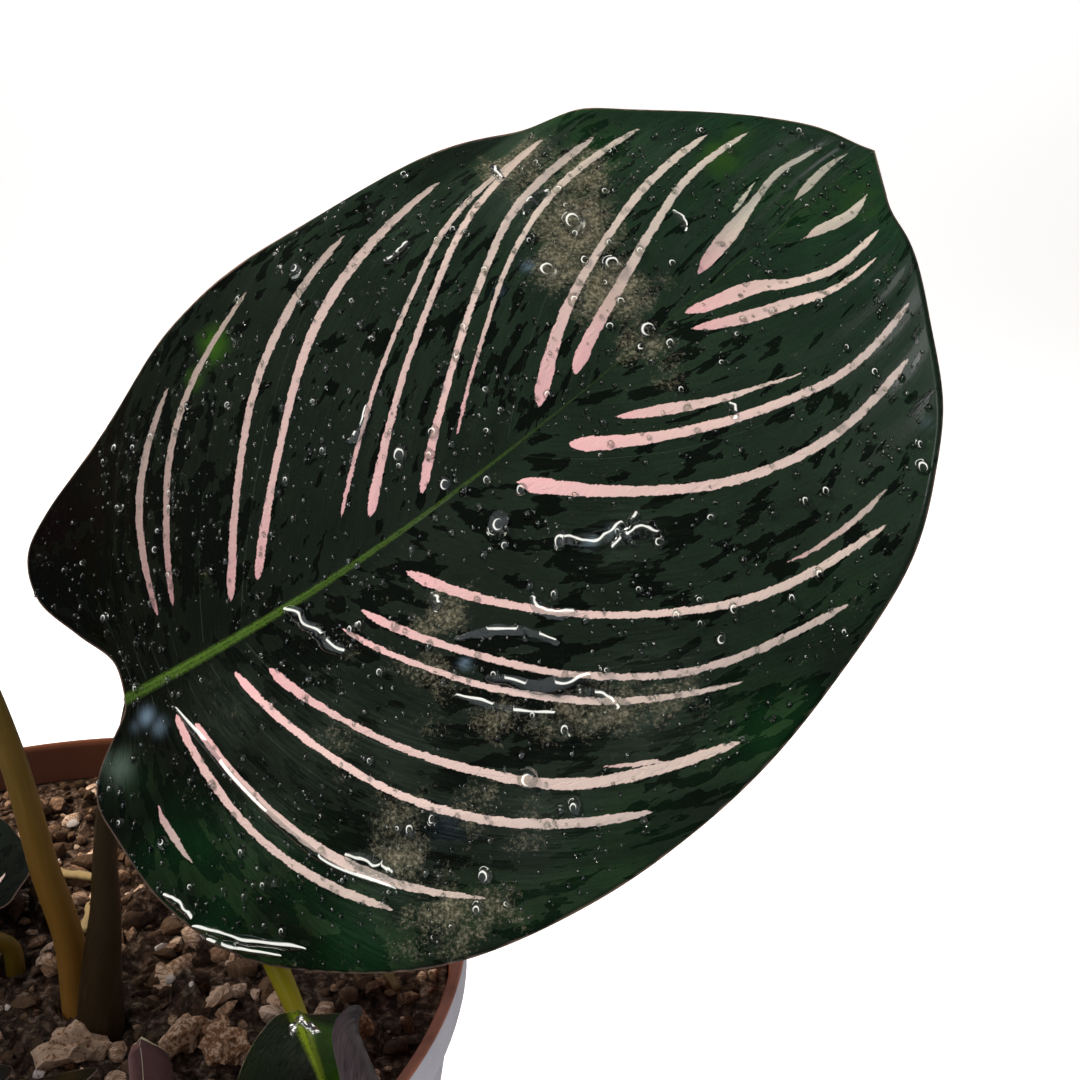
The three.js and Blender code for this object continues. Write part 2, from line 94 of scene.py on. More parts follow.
# The six leaves, as in the part, with heights from the rim. Each half has its droop in degrees, its curl in
# degrees a millimetre, the share of that curl at the base, and for the leaf that is still unrolling the
# millimetres that stay straight and a breadth of its own. The grid is rows along the leaf by columns across
# half of it.
LEAVES = {
    "main_leaf": {
        "midrib": [(21.8, 1.2, 40.1), (69.2, -4, 67.6), (76.6, -2.4, 77.5), (133.7, 40.2, 116)],
        "facing": (-0.1, -0.8, 0.6), "breadth": 1, "left": (-6, 0.2, 1), "right": (-4, 0.25, 1), "wave": 0.9,
        "foot": (17.3, -10.4),
        "stalk": [(18.2, -9, 4), (18.6, -6.6, 11), (18.4, -4, 18.4), (19, -1.2, 26), (21.2, 1.4, 33)],
        "run_in": 0, "radii": [3.4, 3.4, 3.4, 3.3, 2.7, 2, 1.6, 1.7, 1.5], "rib": 0.9, "grid": (320, 64),
        "striped": True,
    },
    "left_leaf": {
        "midrib": [(-14, 2, 78), (-42, 7, 104), (-76, 14, 112), (-112, 20, 94)],
        "facing": (0.25, -0.35, 0.9), "breadth": 0.9, "left": (-8, 0.35, 1), "right": (-8, 0.3, 1),
        "wave": 1.1, "foot": (11.4, -4.2),
        "stalk": [(11.6, -4.4, 4), (9.6, -4.5, 15.9), (6.8, -4, 34.6), (1, -2.2, 53), (-6.5, 0, 68)],
        "run_in": 3, "radii": [2.7, 2.4, 2.2, 2.1, 1.9, 1.8, 1.7, 1.8, 1.5], "rib": 0.62, "grid": (240, 44),
        "striped": True,
    },
    "low_back_leaf": {
        "midrib": [(-9, 2, 3), (-28, 8, 4.5), (-54, 18, 9), (-84, 32, 4)],
        "facing": (0.1, -0.05, 1), "breadth": 0.95, "left": (-8, 0.4, 1), "right": (3, 0.3, 1), "wave": 0.8,
        "foot": (-1.5, 4), "stalk": [(-1.9, 3.7, -3)],
        "run_in": 2, "radii": [2, 2, 1.9, 1.8, 1.6, 1.5, 1.4, 1.4, 1.2], "rib": 0.62, "grid": (200, 40),
        "striped": True,
    },
    "young_right_leaf": {
        "midrib": [(49.4, -23.3, 7), (52.6, -31.3, 9), (58.6, -45.5, 11), (66, -61, 6)],
        "facing": (-0.05, -0.3, 0.95), "breadth": 0.9, "left": (32, -28, 0.2, 2.5, 0.8),
        "right": (-6, 3.4, 1), "sweep": 0.5, "wave": 0.3,
        "foot": (40, 6), "stalk": [(39.6, 3, -1.5), (40.4, -5.5, 5.5), (43.8, -14.5, 10)],
        "run_in": 1.5, "radii": [2.3, 2.2, 2, 1.8, 1.7, 1.7, 1.6, 1.5, 1.2], "rib": 5, "grid": (160, 44),
        "striped": False, "green_half": "left",
    },
    "front_leaf": {
        "midrib": [(18.5, -39, 9.5), (12, -58, 19), (3, -86, 25), (-8, -112, 12)],
        "facing": (0, 0.1, 1), "breadth": 0.55, "left": (-14, 0.3, 1), "right": (-2, 0.45, 1), "wave": 0.8,
        "foot": (14.6, -31), "stalk": [(15, -31.6, -3), (16.8, -33.6, 3)],
        "run_in": 1.5, "radii": [2.2, 2.2, 2.1, 1.9, 1.7, 1.6, 1.5, 1.5, 1.2], "rib": 0.8, "grid": (200, 40),
        "striped": True,
    },
    "rolled_leaf": {
        "midrib": [(36, -45.4, -1.5), (36.2, -44, 6), (36.5, -41.5, 14), (36.9, -43.5, 20)],
        "facing": (0.1, 0.95, -0.25), "breadth": 0.5, "left": (6, -30, 1), "right": (6, -30, 1), "wave": 0,
        "foot": (36, -46.5), "stalk": [], "run_in": 0, "radii": [1.3, 1.3, 1.2, 1.1, 1], "rib": 1.6,
        "grid": (60, 30), "striped": False,
    },
}
UNROLLED_SHARE = 0.3

# Finer form of a blade: ripples of its margin, pleats along its side veins, the midrib's raised upper face
# with the distance in which it sinks away, and the thickness at the margin and further in
COLUMN_CROWDING = 1.3
RIPPLES = 5
PLEATS = 23
PLEAT_DEPTH = 0.07
RAISED_RIB = 0.25
RAISED_RIB_WIDTH = 0.9
RAISED_RIB_RUN = 110
EDGE_THICKNESS = 0.22
FULL_THICKNESS = 0.57
EDGE_TAPER = 5
SIDE_VEINS = 17
VEIN_SPREAD = 170
GREEN_HALF_PALENESS = 0.38

# Steps in which curves are read, the parts in which the margin is searched, and a distance beyond all others
MARGIN_STEPS = 1200
ROW_STEPS = 600
MIDRIB_STEPS = 401
SPLINE_STEPS = 40
MARGIN_BLOCKS = 12
FAR = 1e9

# Stalks: how far they run on along the midrib and below the blade's middle, as shares of their radius, and
# the share by which they narrow there; then the distance between their rings, and the turn of the sheath's
# groove in radians
JOINT_REACH = 2.4
JOINT_DEPTH = 0.55
JOINT_TAPER = 0.3
JOINT_STEPS = 6
STALK_STEP = 1.2
STALK_SIDES = 28
SHEATH_TURN = 2.4

# Pinstripes of each half: where one begins and ends as shares across the half, its places as shares along
# the leaf at even steps between them, its widths there, how light it is, and how far it has faded to sage.
# The first stripes of the left half, near the basal lobe, are given less lightness to paint the shade there
LEFT_STRIPES = [
    (0.11, 0.68, [0.305, 0.295, 0.287, 0.289, 0.295], [0.9, 1.2, 1.3, 1.2, 0.9], 0.44, 0),
    (0.1, 0.74, [0.346, 0.345, 0.34, 0.347, 0.373], [0.9, 1.2, 1.2, 1.2, 0.8], 0.46, 0.2),
    (0.05, 0.73, [0.475, 0.468, 0.463, 0.473, 0.483], [1.5, 1.2, 1.3, 1.4, 1], 0.68, 0.05),
    (0.06, 0.85, [0.522, 0.523, 0.521, 0.53, 0.538], [1.5, 1.2, 1.5, 1.5, 0.9], 0.81, 0),
    (0.09, 0.91, [0.63, 0.634, 0.637, 0.626, 0.646], [0.6, 0.7, 0.7, 0.9, 0.5], 0.88, 0.2),
    (0.06, 0.91, [0.666, 0.669, 0.669, 0.652, 0.649], [1.6, 1, 1, 1.1, 0.9], 0.94, 0.1),
    (0.04, 0.9, [0.716, 0.721, 0.718, 0.707, 0.715], [1.4, 1, 1, 1.2, 1.1], 0.98, 0.25),
    (0.11, 0.93, [0.74, 0.742, 0.736, 0.733, 0.744], [0.5, 0.6, 0.8, 1.2, 0.8], 0.98, 0.4),
    (0.05, 0.9, [0.804, 0.804, 0.807, 0.804, 0.803], [2.2, 1.6, 1.1, 1.3, 1.1], 1.04, 0.4),
    (0.07, 0.92, [0.827, 0.837, 0.836, 0.829, 0.83], [2.1, 1.6, 1.3, 1.2, 0.9], 1.02, 0.5),
    (0.16, 0.91, [0.897, 0.901, 0.898, 0.892, 0.899], [1.4, 2.5, 1.2, 1, 0.7], 0.93, 0.8),
    (0.48, 0.69, [0.888, 0.887, 0.885, 0.883, 0.88], [0.5, 0.8, 0.6, 0.4, 0.3], 0.85, 1),
    (0.35, 0.89, [0.938, 0.939, 0.937, 0.937, 0.941], [0.6, 1.3, 1.2, 0.9, 0.4], 0.82, 0.9),
]
RIGHT_STRIPES = [
    (0.35, 0.83, [0.93, 0.932, 0.932, 0.934, 0.943], [0.7, 1.7, 1.8, 1.4, 0.6], 0.88, 0.7),
    (0.03, 0.91, [0.896, 0.904, 0.895, 0.888, 0.896], [1.8, 2.5, 1.6, 1.3, 0.8], 0.95, 0.25),
    (0.13, 0.86, [0.881, 0.879, 0.876, 0.866, 0.864], [1.2, 2, 1.7, 1, 0.7], 0.97, 0.1),
    (0.13, 0.58, [0.815, 0.816, 0.814, 0.813, 0.808], [0.8, 1.7, 1.2, 0.6, 0.5], 1, 0.1),
    (0.09, 0.94, [0.795, 0.796, 0.794, 0.788, 0.791], [2.4, 1.6, 1.3, 1.1, 0.9], 1.02, 0.1),
    (0.07, 0.92, [0.764, 0.76, 0.754, 0.754, 0.762], [2.4, 1.5, 1.3, 1.2, 1], 1.02, 0.1),
    (0.7, 0.88, [0.684, 0.684, 0.688, 0.693, 0.7], [0.4, 0.6, 0.7, 0.8, 0.4], 0.8, 0.2),
    (0.07, 0.91, [0.675, 0.676, 0.671, 0.664, 0.673], [1.5, 1, 0.9, 1.2, 0.9], 0.95, 0.1),
    (0.09, 0.91, [0.624, 0.627, 0.617, 0.609, 0.625], [1.2, 0.9, 0.8, 0.9, 1], 0.95, 0.1),
    (0.1, 0.81, [0.597, 0.6, 0.595, 0.587, 0.584], [0.8, 0.7, 0.8, 0.8, 0.6], 1, 0.1),
    (0.09, 0.91, [0.497, 0.505, 0.501, 0.488, 0.502], [1.4, 0.8, 1, 1.3, 1.2], 0.96, 0.05),
    (0.7, 0.81, [0.509, 0.507, 0.506, 0.505, 0.499], [0.3, 0.4, 0.6, 0.7, 0.7], 0.84, 0.1),
    (0.06, 0.88, [0.446, 0.45, 0.442, 0.432, 0.43], [1.2, 1, 0.9, 1.1, 1.1], 1.06, 0.05),
    (0.12, 0.82, [0.291, 0.298, 0.298, 0.298, 0.302], [1.3, 1.1, 1.2, 1.1, 0.6], 1, 0.1),
    (0.09, 0.76, [0.252, 0.255, 0.257, 0.263, 0.27], [1.3, 1.2, 1, 1.1, 0.9], 0.96, 0),
    (0.43, 0.62, [0.14, 0.139, 0.148, 0.154, 0.162], [0.6, 1, 1.1, 1, 0.9], 0.88, 0),
]

# Marks on the full-grown leaf, as x and y on the flat blade with the left half positive, a radius and a
# strength. They are dried residue, thin tissue with painted backlight shining through it, standing water,
# painted reflections of skylight in grey and in blue, and deeper green.
DUST_MARKS = [
    (98.8, 20.6, 6.5, 1.15), (94.2, 9.1, 6, 1.1), (92.4, 17, 5, 1), (91.5, 0.3, 4, 0.7), (89.9, -6, 4, 0.4),
    (106.7, 27, 6, 0.85), (98, 34, 6, 0.75), (104, 34, 5, 0.7), (47.8, -13.2, 3.4, 0.75),
    (44.5, -14, 2.6, 0.5), (41.5, -18, 3.4, 0.6), (35.3, -9.2, 3, 0.35), (41.8, -23, 4, 0.4),
    (46.6, -28.9, 4, 0.52), (52.1, -33.3, 4, 0.6), (57, -37, 4, 0.75), (62, -40.5, 4, 0.65),
    (31.1, -33.1, 3.4, 0.75), (30.1, -37.5, 3.6, 0.75), (28.9, -21, 3, 0.5), (39.5, -37.2, 3, 0.55),
    (43.4, -42.4, 3.4, 0.5), (31.7, -47.2, 5, 0.75), (36, -48, 4, 0.6), (14, -8, 3, 0.3),
]
PALE_BACKLIT_MARKS = [
    (36, 42, 3.4, 0.85), (29.9, 39, 2.4, 0.5), (124.3, 14.7, 3.4, 0.7), (129.8, 15.3, 3, 0.4),
    (134.6, -4.9, 4, 0.35),
]
WET_MARKS = [
    (66, -21, 9, 0.6), (30, -6, 7, 1), (50, -27, 7, 1), (13, -40, 11, 1.2), (20, -34, 8, 1),
    (62, -44, 8, 0.6), (2, 28, 17, 1.3), (20, 13, 9, 1), (4, -18, 8, 1.2), (78, 2, 5, 0.6),
    (98, 12, 2.2, 1.4), (59, -8, 2.2, 1.6),
]
GREY_REFLECTION_MARKS = [
    (-3.3, -9, 3, 1), (-5.4, -7, 2.4, 0.8), (16, -10, 9, 0.3), (26, -18, 10, 0.3), (34, -26, 9, 0.28),
    (16, -26, 8, 0.32), (26, -41, 8, 0.32), (60, -39, 8, 0.4), (44, -43, 8, 0.35), (94, 31, 9, 0.38),
    (104, 36, 8, 0.42), (118, 22, 9, 0.28), (133, 8, 8, 0.3), (80, 40, 7, 0.28), (70, -20, 6, 0.28),
]
BLUE_REFLECTION_MARKS = [
    (2.9, -3.9, 1.7, 0.95), (4.6, -6.2, 1.7, 0.7), (0.8, -4.4, 1.4, 0.5), (88.3, 20.2, 1.3, 0.75),
    (82.1, 19.7, 1.2, 0.5), (46.4, -20.7, 0.9, 0.9), (36, -37, 3, 0.3), (66.5, -17.6, 1.1, 0.8),
    (69.5, -18.4, 0.9, 0.8), (110, -36, 1.5, 0.4),
]
GREEN_MARKS = [
    (9, -36, 14, 1), (2, -24, 9, 1), (-2, -13, 6, 0.8), (20, -45, 10, 0.9), (35, -50, 8, 0.6),
    (49, -52, 9, 0.8), (68, -50, 10, 0.8), (82, -46, 9, 0.5), (112, 34, 13, 0.7), (132, 2, 13, 0.8),
    (118, 12, 8, 0.5),
]

# Water that stands or runs on the full-grown leaf: places on the flat blade, half widths and depth
WATER_TRAILS = [
    ([(28.3, 0), (29.7, -1.4), (30.4, -3.6), (31.7, -5.8), (32.5, -8.4), (34, -10.1)],
     [0.5, 1, 0.8, 1.2, 0.9, 1.1], 0.5),
    ([(64, -14.5), (65.5, -16.7), (67.9, -18.5), (71.1, -18.5)], [0.6, 1, 1.2, 0.8], 0.5),
    ([(67.9, -20.1), (70.5, -20.2), (72.4, -21.2), (73, -23.3)], [0.5, 1.1, 1.3, 0.7], 0.5),
    ([(70.5, -20.2), (71.6, -19.5), (73.4, -18.3)], [0.6, 0.8, 0.4], 0.45),
    ([(47.5, -23.6), (49.7, -26), (52, -28.9), (54.3, -30.5), (57, -31.4)], [0.5, 0.8, 1, 1.1, 0.6], 0.45),
    ([(55, -32.1), (56.5, -34.2), (57.1, -36.1), (56.9, -36.7)], [0.4, 0.8, 0.7, 0.4], 0.4),
    ([(43.6, -23.4), (46, -26.6), (49, -30.2), (52, -33)], [0.3, 0.6, 0.5, 0.3], 0.35),
    ([(1.1, -33.5), (7.3, -37.7), (15.1, -42.5)], [0.4, 0.6, 0.4], 0.4),
    ([(1.8, -35.2), (5.6, -38.3), (11.7, -41.9)], [0.2, 0.4, 0.2], 0.3),
    ([(-1.5, -28), (0.2, -30.1), (1.4, -32.6)], [0.4, 0.6, 0.4], 0.35),
    ([(23.9, -34), (26.5, -37), (28.2, -38.9)], [0.6, 1.3, 0.6], 0.5),
    ([(7.8, -4.6), (10.5, -11), (13.5, -18.4), (17.8, -27), (21.9, -34.4), (28, -41)],
     [0.3, 0.5, 0.4, 0.5, 0.5, 0.3], 0.35),
    ([(72.2, 35.3), (74.5, 34.6), (77.7, 35.6)], [0.5, 0.9, 0.5], 0.4),
    ([(94.5, 27.3), (96.7, 28.4), (98.8, 28.4), (100.6, 27.8)], [0.5, 1, 0.8, 0.4], 0.45),
    ([(97.7, 37.8), (96.6, 35.5), (96.5, 33.4)], [0.4, 0.7, 0.5], 0.4),
    ([(111.5, 12.9), (111.3, 10.6), (110, 9)], [0.3, 0.6, 0.4], 0.4),
    ([(56.9, -18.4), (56.9, -20.3), (58, -22.4), (60.1, -23.7)], [0.4, 0.8, 0.9, 0.5], 0.45),
    ([(92.5, -14.4), (92.4, -16.3), (91.2, -17.5)], [0.3, 0.7, 0.5], 0.4),
    ([(48.6, 15.5), (50.3, 15.2), (52.9, 16.5), (54.5, 18.3)], [0.4, 0.7, 0.6, 0.3], 0.4),
    ([(47.3, -9.9), (47.3, -11.6), (46.5, -12.4)], [0.4, 0.8, 0.5], 0.4),
    ([(46.7, -17.1), (50.9, -19), (54.3, -22.2), (56.4, -26)], [0.4, 0.8, 0.7, 0.4], 0.35),
]
YOUNG_LEAF_TRAILS = [
    ([(6, 1), (10, -1.5), (14, 0.5), (18, 2.5)], [0.3, 0.7, 0.5, 0.3], 0.35),
    ([(9, 6), (13, 4), (16, 5.5), (20, 3.5)], [0.3, 0.6, 0.8, 0.3], 0.4),
    ([(8, -6), (12, -5), (15, -7)], [0.2, 0.5, 0.3], 0.3),
]
WATER_POOLS = [
    (98.9, 21.6, 1.8), (89.9, 17.9, 1.5), (97.7, 12, 1.7), (89.2, 11.4, 1.1), (93.6, 1, 1.5),
    (54.3, 9.3, 1.2), (59.1, -7.7, 1.7), (56.8, 1.9, 0.9), (45.7, -37.4, 1.3), (48.1, -43.5, 1),
    (90.7, -0.4, 0.8), (94.2, -2.9, 0.9), (101.7, 27.2, 1), (106.6, 22.3, 1), (113.1, 27.4, 0.8),
    (126.7, 20.6, 0.8), (94.1, 6.8, 0.9), (32.3, -35.1, 1.1), (57.6, 6.6, 0.8), (36.9, -44.8, 1),
    (34.8, -47.8, 0.9), (72.5, -23.4, 0.9), (71.3, -32.7, 0.8), (70, -38.2, 0.8), (64.3, -5.6, 0.8),
    (37.4, -8, 0.8), (90, 4.9, 0.8), (95.1, 15.4, 0.8), (100.3, 24.4, 0.8), (91.6, 23.4, 0.7),
    (102.4, 11, 0.8), (89.6, -9.4, 0.8), (104, -40, 1.1), (83, 24, 0.7), (60, 9, 0.9),
]

# How a stripe is drawn: how far it is known beyond its ends, the lengths in which its foot and its tip round
# in, the clearance in which it is given up, and the share across the half in which its fading grows
STRIPE_STEPS = 60
STRIPE_REACH = 6
STRIPE_FOOT = 2.5
STRIPE_TIP = 4
STRIPE_CLEARANCE = (0.8, 1.3)
STRIPE_FADES = (0.15, 0.5)

# Drops and trails of water: the radius from which a drop counts as large, and how deep its rim is sunk
LARGE_DROP = 0.6
SUNK = 0.03
TRAIL_STEPS = 60
TRAIL_SIDES = 14

# Straws and husks on the soil: two ends, a half width and a tone
STRAWS = [
    ((-5, 28.6), (3, 26), 1.1, 0.75), ((6.8, 11), (5, 19), 0.9, 0.7), ((54, 8.5), (59.6, -3.5), 0.8, 0.3),
    ((-30, 20), (-22, 27), 0.7, 0.6), ((30, 40), (41, 36), 0.8, 0.55), ((-40, -20), (-31, -26), 0.8, 0.5),
    ((20, -52), (28, -47), 0.7, 0.65), ((-8, -44), (-2, -35), 0.7, 0.45), ((48, -22), (55, -15), 0.6, 0.6),
    ((-52, 4), (-47, 13), 0.7, 0.5), ((40, 25), (35, 17), 0.6, 0.7),
]
STRAW_STEPS = 14
STRAW_SIDES = 8

# Clods and flecks that lie at known places on the soil: x, y, size and tone
PLACED_CLODS = [
    (15.6, -15.8, 4.8, 0.6), (30.5, -13.5, 5.2, 0.55), (33, -4.6, 2.4, 0.7), (42, -4.6, 3.4, 0.6),
    (37.1, -15.8, 3.6, 0.52), (55.8, -12, 3, 0.45),
]
PLACED_FLECKS = [(11.4, 3.6, 1.5, 0.4), (26.6, 1.4, 1.3, 0.5), (5.9, 13, 1.6, 0.3)]

POT_SEGMENTS = 168
SOIL_RINGS = 92
SOIL_SEGMENTS = 300
BIT_SHAPES = 26

# The backdrop's distance behind the pot, the radius of its curve and half its width, and the place in metres
# that the lights face
SWEEP_BACK = 1200
SWEEP_CURVE = 500
SWEEP_HALF_WIDTH = 4000
LIGHTS_AIM = (0.03, 0, 0.16)


def read_even(values, share):
    """A smooth curve through values that stand at even steps, read at shares from 0 to 1."""
    values = np.asarray(values, float)
    place = np.clip(share, 0, 1) * (len(values) - 1)
    i = np.minimum(place.astype(int), len(values) - 2)
    t = place - i
    before, here, there, after = (values[np.clip(i + k, 0, len(values) - 1)] for k in (-1, 0, 1, 2))
    slope_a = (there - before) / 2
    slope_b = (after - here) / 2
    rise = there - here
    return here + t * (slope_a + t * (3 * rise - 2 * slope_a - slope_b + t * (slope_a + slope_b - 2 * rise)))


def smooth_step(value, low, high):
    t = np.clip((value - low) / (high - low), 0, 1)
    return t * t * (3 - 2 * t)


def hermite(t, start, leave, end, arrive):
    return ((2 * t ** 3 - 3 * t ** 2 + 1) * start + (t ** 3 - 2 * t ** 2 + t) * leave
            + (3 * t ** 2 - 2 * t ** 3) * end + (t ** 3 - t ** 2) * arrive)


def unit(vectors):
    return vectors / np.linalg.norm(vectors, axis=-1, keepdims=True)


def from_rim(points):
    return np.array(points, float) + [0, 0, POT_HEIGHT]


def share_of_length(points):
    steps = np.linalg.norm(np.diff(points, axis=0), axis=1)
    lengths = np.concatenate([[0], np.cumsum(steps)])
    return lengths / lengths[-1], lengths[-1]


def read_polyline(points, shares, at):
    return np.stack([np.interp(at, shares, points[:, k]) for k in range(points.shape[1])], axis=-1)


def angles(count):
    return 2 * math.pi * np.arange(count) / count


def circle(radius, z, count):
    return [(radius * math.cos(angle), radius * math.sin(angle), z) for angle in angles(count)]


def tube_faces(start, rings, sides, inward=False, capped=True):
    """Quads between rings of vertices, which face out or in, and a face over either end."""
    faces = []
    for low in range(start, start + rings * sides, sides):
        for k in range(sides):
            a, b = low + k, low + (k + 1) % sides
            faces.append((a, a + sides, b + sides, b) if inward else (a, b, b + sides, a + sides))
    if capped:
        for first, turned_over in ((start, not inward), (start + rings * sides, inward)):
            cap = tuple(range(first, first + sides))
            faces.append(cap[::-1] if turned_over else cap)
    return faces


# Half a blade laid flat

class Half:
    def __init__(self, side, margin, ends, bows, stripes):
        steps = np.linspace(0, 1, MARGIN_STEPS)
        self.side = side
        self.margin = np.stack([read_even([place[k] for place in margin], steps) for k in (0, 1)], axis=-1)
        self.margin_share, _ = share_of_length(self.margin)
        self.ends = ends
        self.bows = bows
        self.stripes = stripes

    def vein_point(self, along, across):
        """A place on a side vein, which bows as a simple curve from the midrib to the margin."""
        start = np.stack([read_even(VEIN_START, along), 0 * along], axis=-1)
        end = read_polyline(self.margin, self.margin_share, np.minimum(read_even(self.ends, along), 1))
        chord = end - start
        bend = np.stack([-chord[..., 1], chord[..., 0]], axis=-1) * read_even(self.bows, along)[..., None]
        middle = start + chord / 2 + bend
        t = across[..., None]
        return (1 - t) ** 2 * start + 2 * t * (1 - t) * middle + t ** 2 * end

    def flat_point(self, along, across):
        """A place on the half, where the veins next to the basal lobe take on its inner margin's shape."""
        hold = np.clip(1 - along / LOBE_BLEND, 0, 1)[..., None] ** 2
        lobe = read_polyline(self.margin, self.margin_share, self.ends[0] * across)
        return self.vein_point(along, across) + hold * (lobe - self.vein_point(0 * along, across))


HALVES = {
    "left": Half(1, LEFT_MARGIN, LEFT_ENDS, LEFT_BOWS, LEFT_STRIPES),
    "right": Half(-1, RIGHT_MARGIN, RIGHT_ENDS, RIGHT_BOWS, RIGHT_STRIPES),
}


def even_rows(count):
    """Shares along the leaf whose veins stand at about even distances, on the midrib and on the margin."""
    along = np.linspace(0, 1, ROW_STEPS)
    ends = (read_even(LEFT_ENDS, along) + read_even(RIGHT_ENDS, along)) / 2
    spread = read_even(VEIN_START, along) / BLADE_LENGTH + ends
    spread = (spread - spread[0]) / (spread[-1] - spread[0])
    return np.interp(np.linspace(0, 1, count + 1), spread, along)


class Midrib:
    """A leaf's midrib in space, with its directions: along it, out to the right, and up from the blade."""

    def __init__(self, leaf):
        self.control = from_rim(leaf["midrib"])
        self.facing = np.array(leaf["facing"], float)
        self.steps = np.linspace(0, 1, MIDRIB_STEPS)
        self.share, self.length = share_of_length(self.curve(self.steps))
        self.scale = self.length / BLADE_LENGTH

    def curve(self, t):
        a, b, c, d = self.control
        t = np.asarray(t, float)[..., None]
        return (1 - t) ** 3 * a + 3 * t * (1 - t) ** 2 * b + 3 * t * t * (1 - t) * c + t ** 3 * d

    def slope(self, t):
        a, b, c, d = self.control
        t = np.asarray(t, float)[..., None]
        return unit((1 - t) ** 2 * (b - a) + 2 * t * (1 - t) * (c - b) + t * t * (d - c))

    def at(self, x):
        x = np.asarray(x, float)
        inside = np.clip(x, 0, self.length)
        t = np.interp(inside / self.length, self.share, self.steps)
        along = self.slope(t)
        right = unit(np.cross(along, self.facing))
        return self.curve(t) + along * (x - inside)[..., None], along, right, np.cross(right, along)


# Materials

def linear(code):
    """An sRGB hex colour as linear RGBA."""
    shares = [int(code[k:k + 2], 16) / 255 for k in (1, 3, 5)]
    return tuple(s / 12.92 if s <= 0.04045 else ((s + 0.055) / 1.055) ** 2.4 for s in shares) + (1.0,)


def add_node(tree, kind, sockets=None, ramp=None, **settings):
    """Adds a node with its settings. A socket is given a value, or the node or output that it is linked to,
    and a hex code is read as a colour."""
    made = tree.nodes.new("ShaderNode" + kind)
    for name, value in settings.items():
        setattr(made, name, value)
    for key, value in (sockets or {}).items():
        if isinstance(value, bpy.types.Node):
            value = next(output for output in value.outputs if output.enabled)
        if isinstance(value, bpy.types.NodeSocket):
            tree.links.new(value, made.inputs[key])
        else:
            made.inputs[key].default_value = linear(value) if isinstance(value, str) else value
    for k, (place, code) in enumerate(ramp or []):
        stops = made.color_ramp.elements
        stop = stops[k] if k < len(stops) else stops.new(place)
        stop.position = place
        stop.color = linear(code)
    return made


def new_material(name):
    """An empty material, and the function that adds nodes to it."""
    material = bpy.data.materials.new(name)
    material.use_nodes = True
    material.node_tree.nodes.clear()
    return material, partial(add_node, material.node_tree)


def per_mm(size):
    """A texture's scale in object space for features of that many millimetres."""
    return 1 / (size * MM)


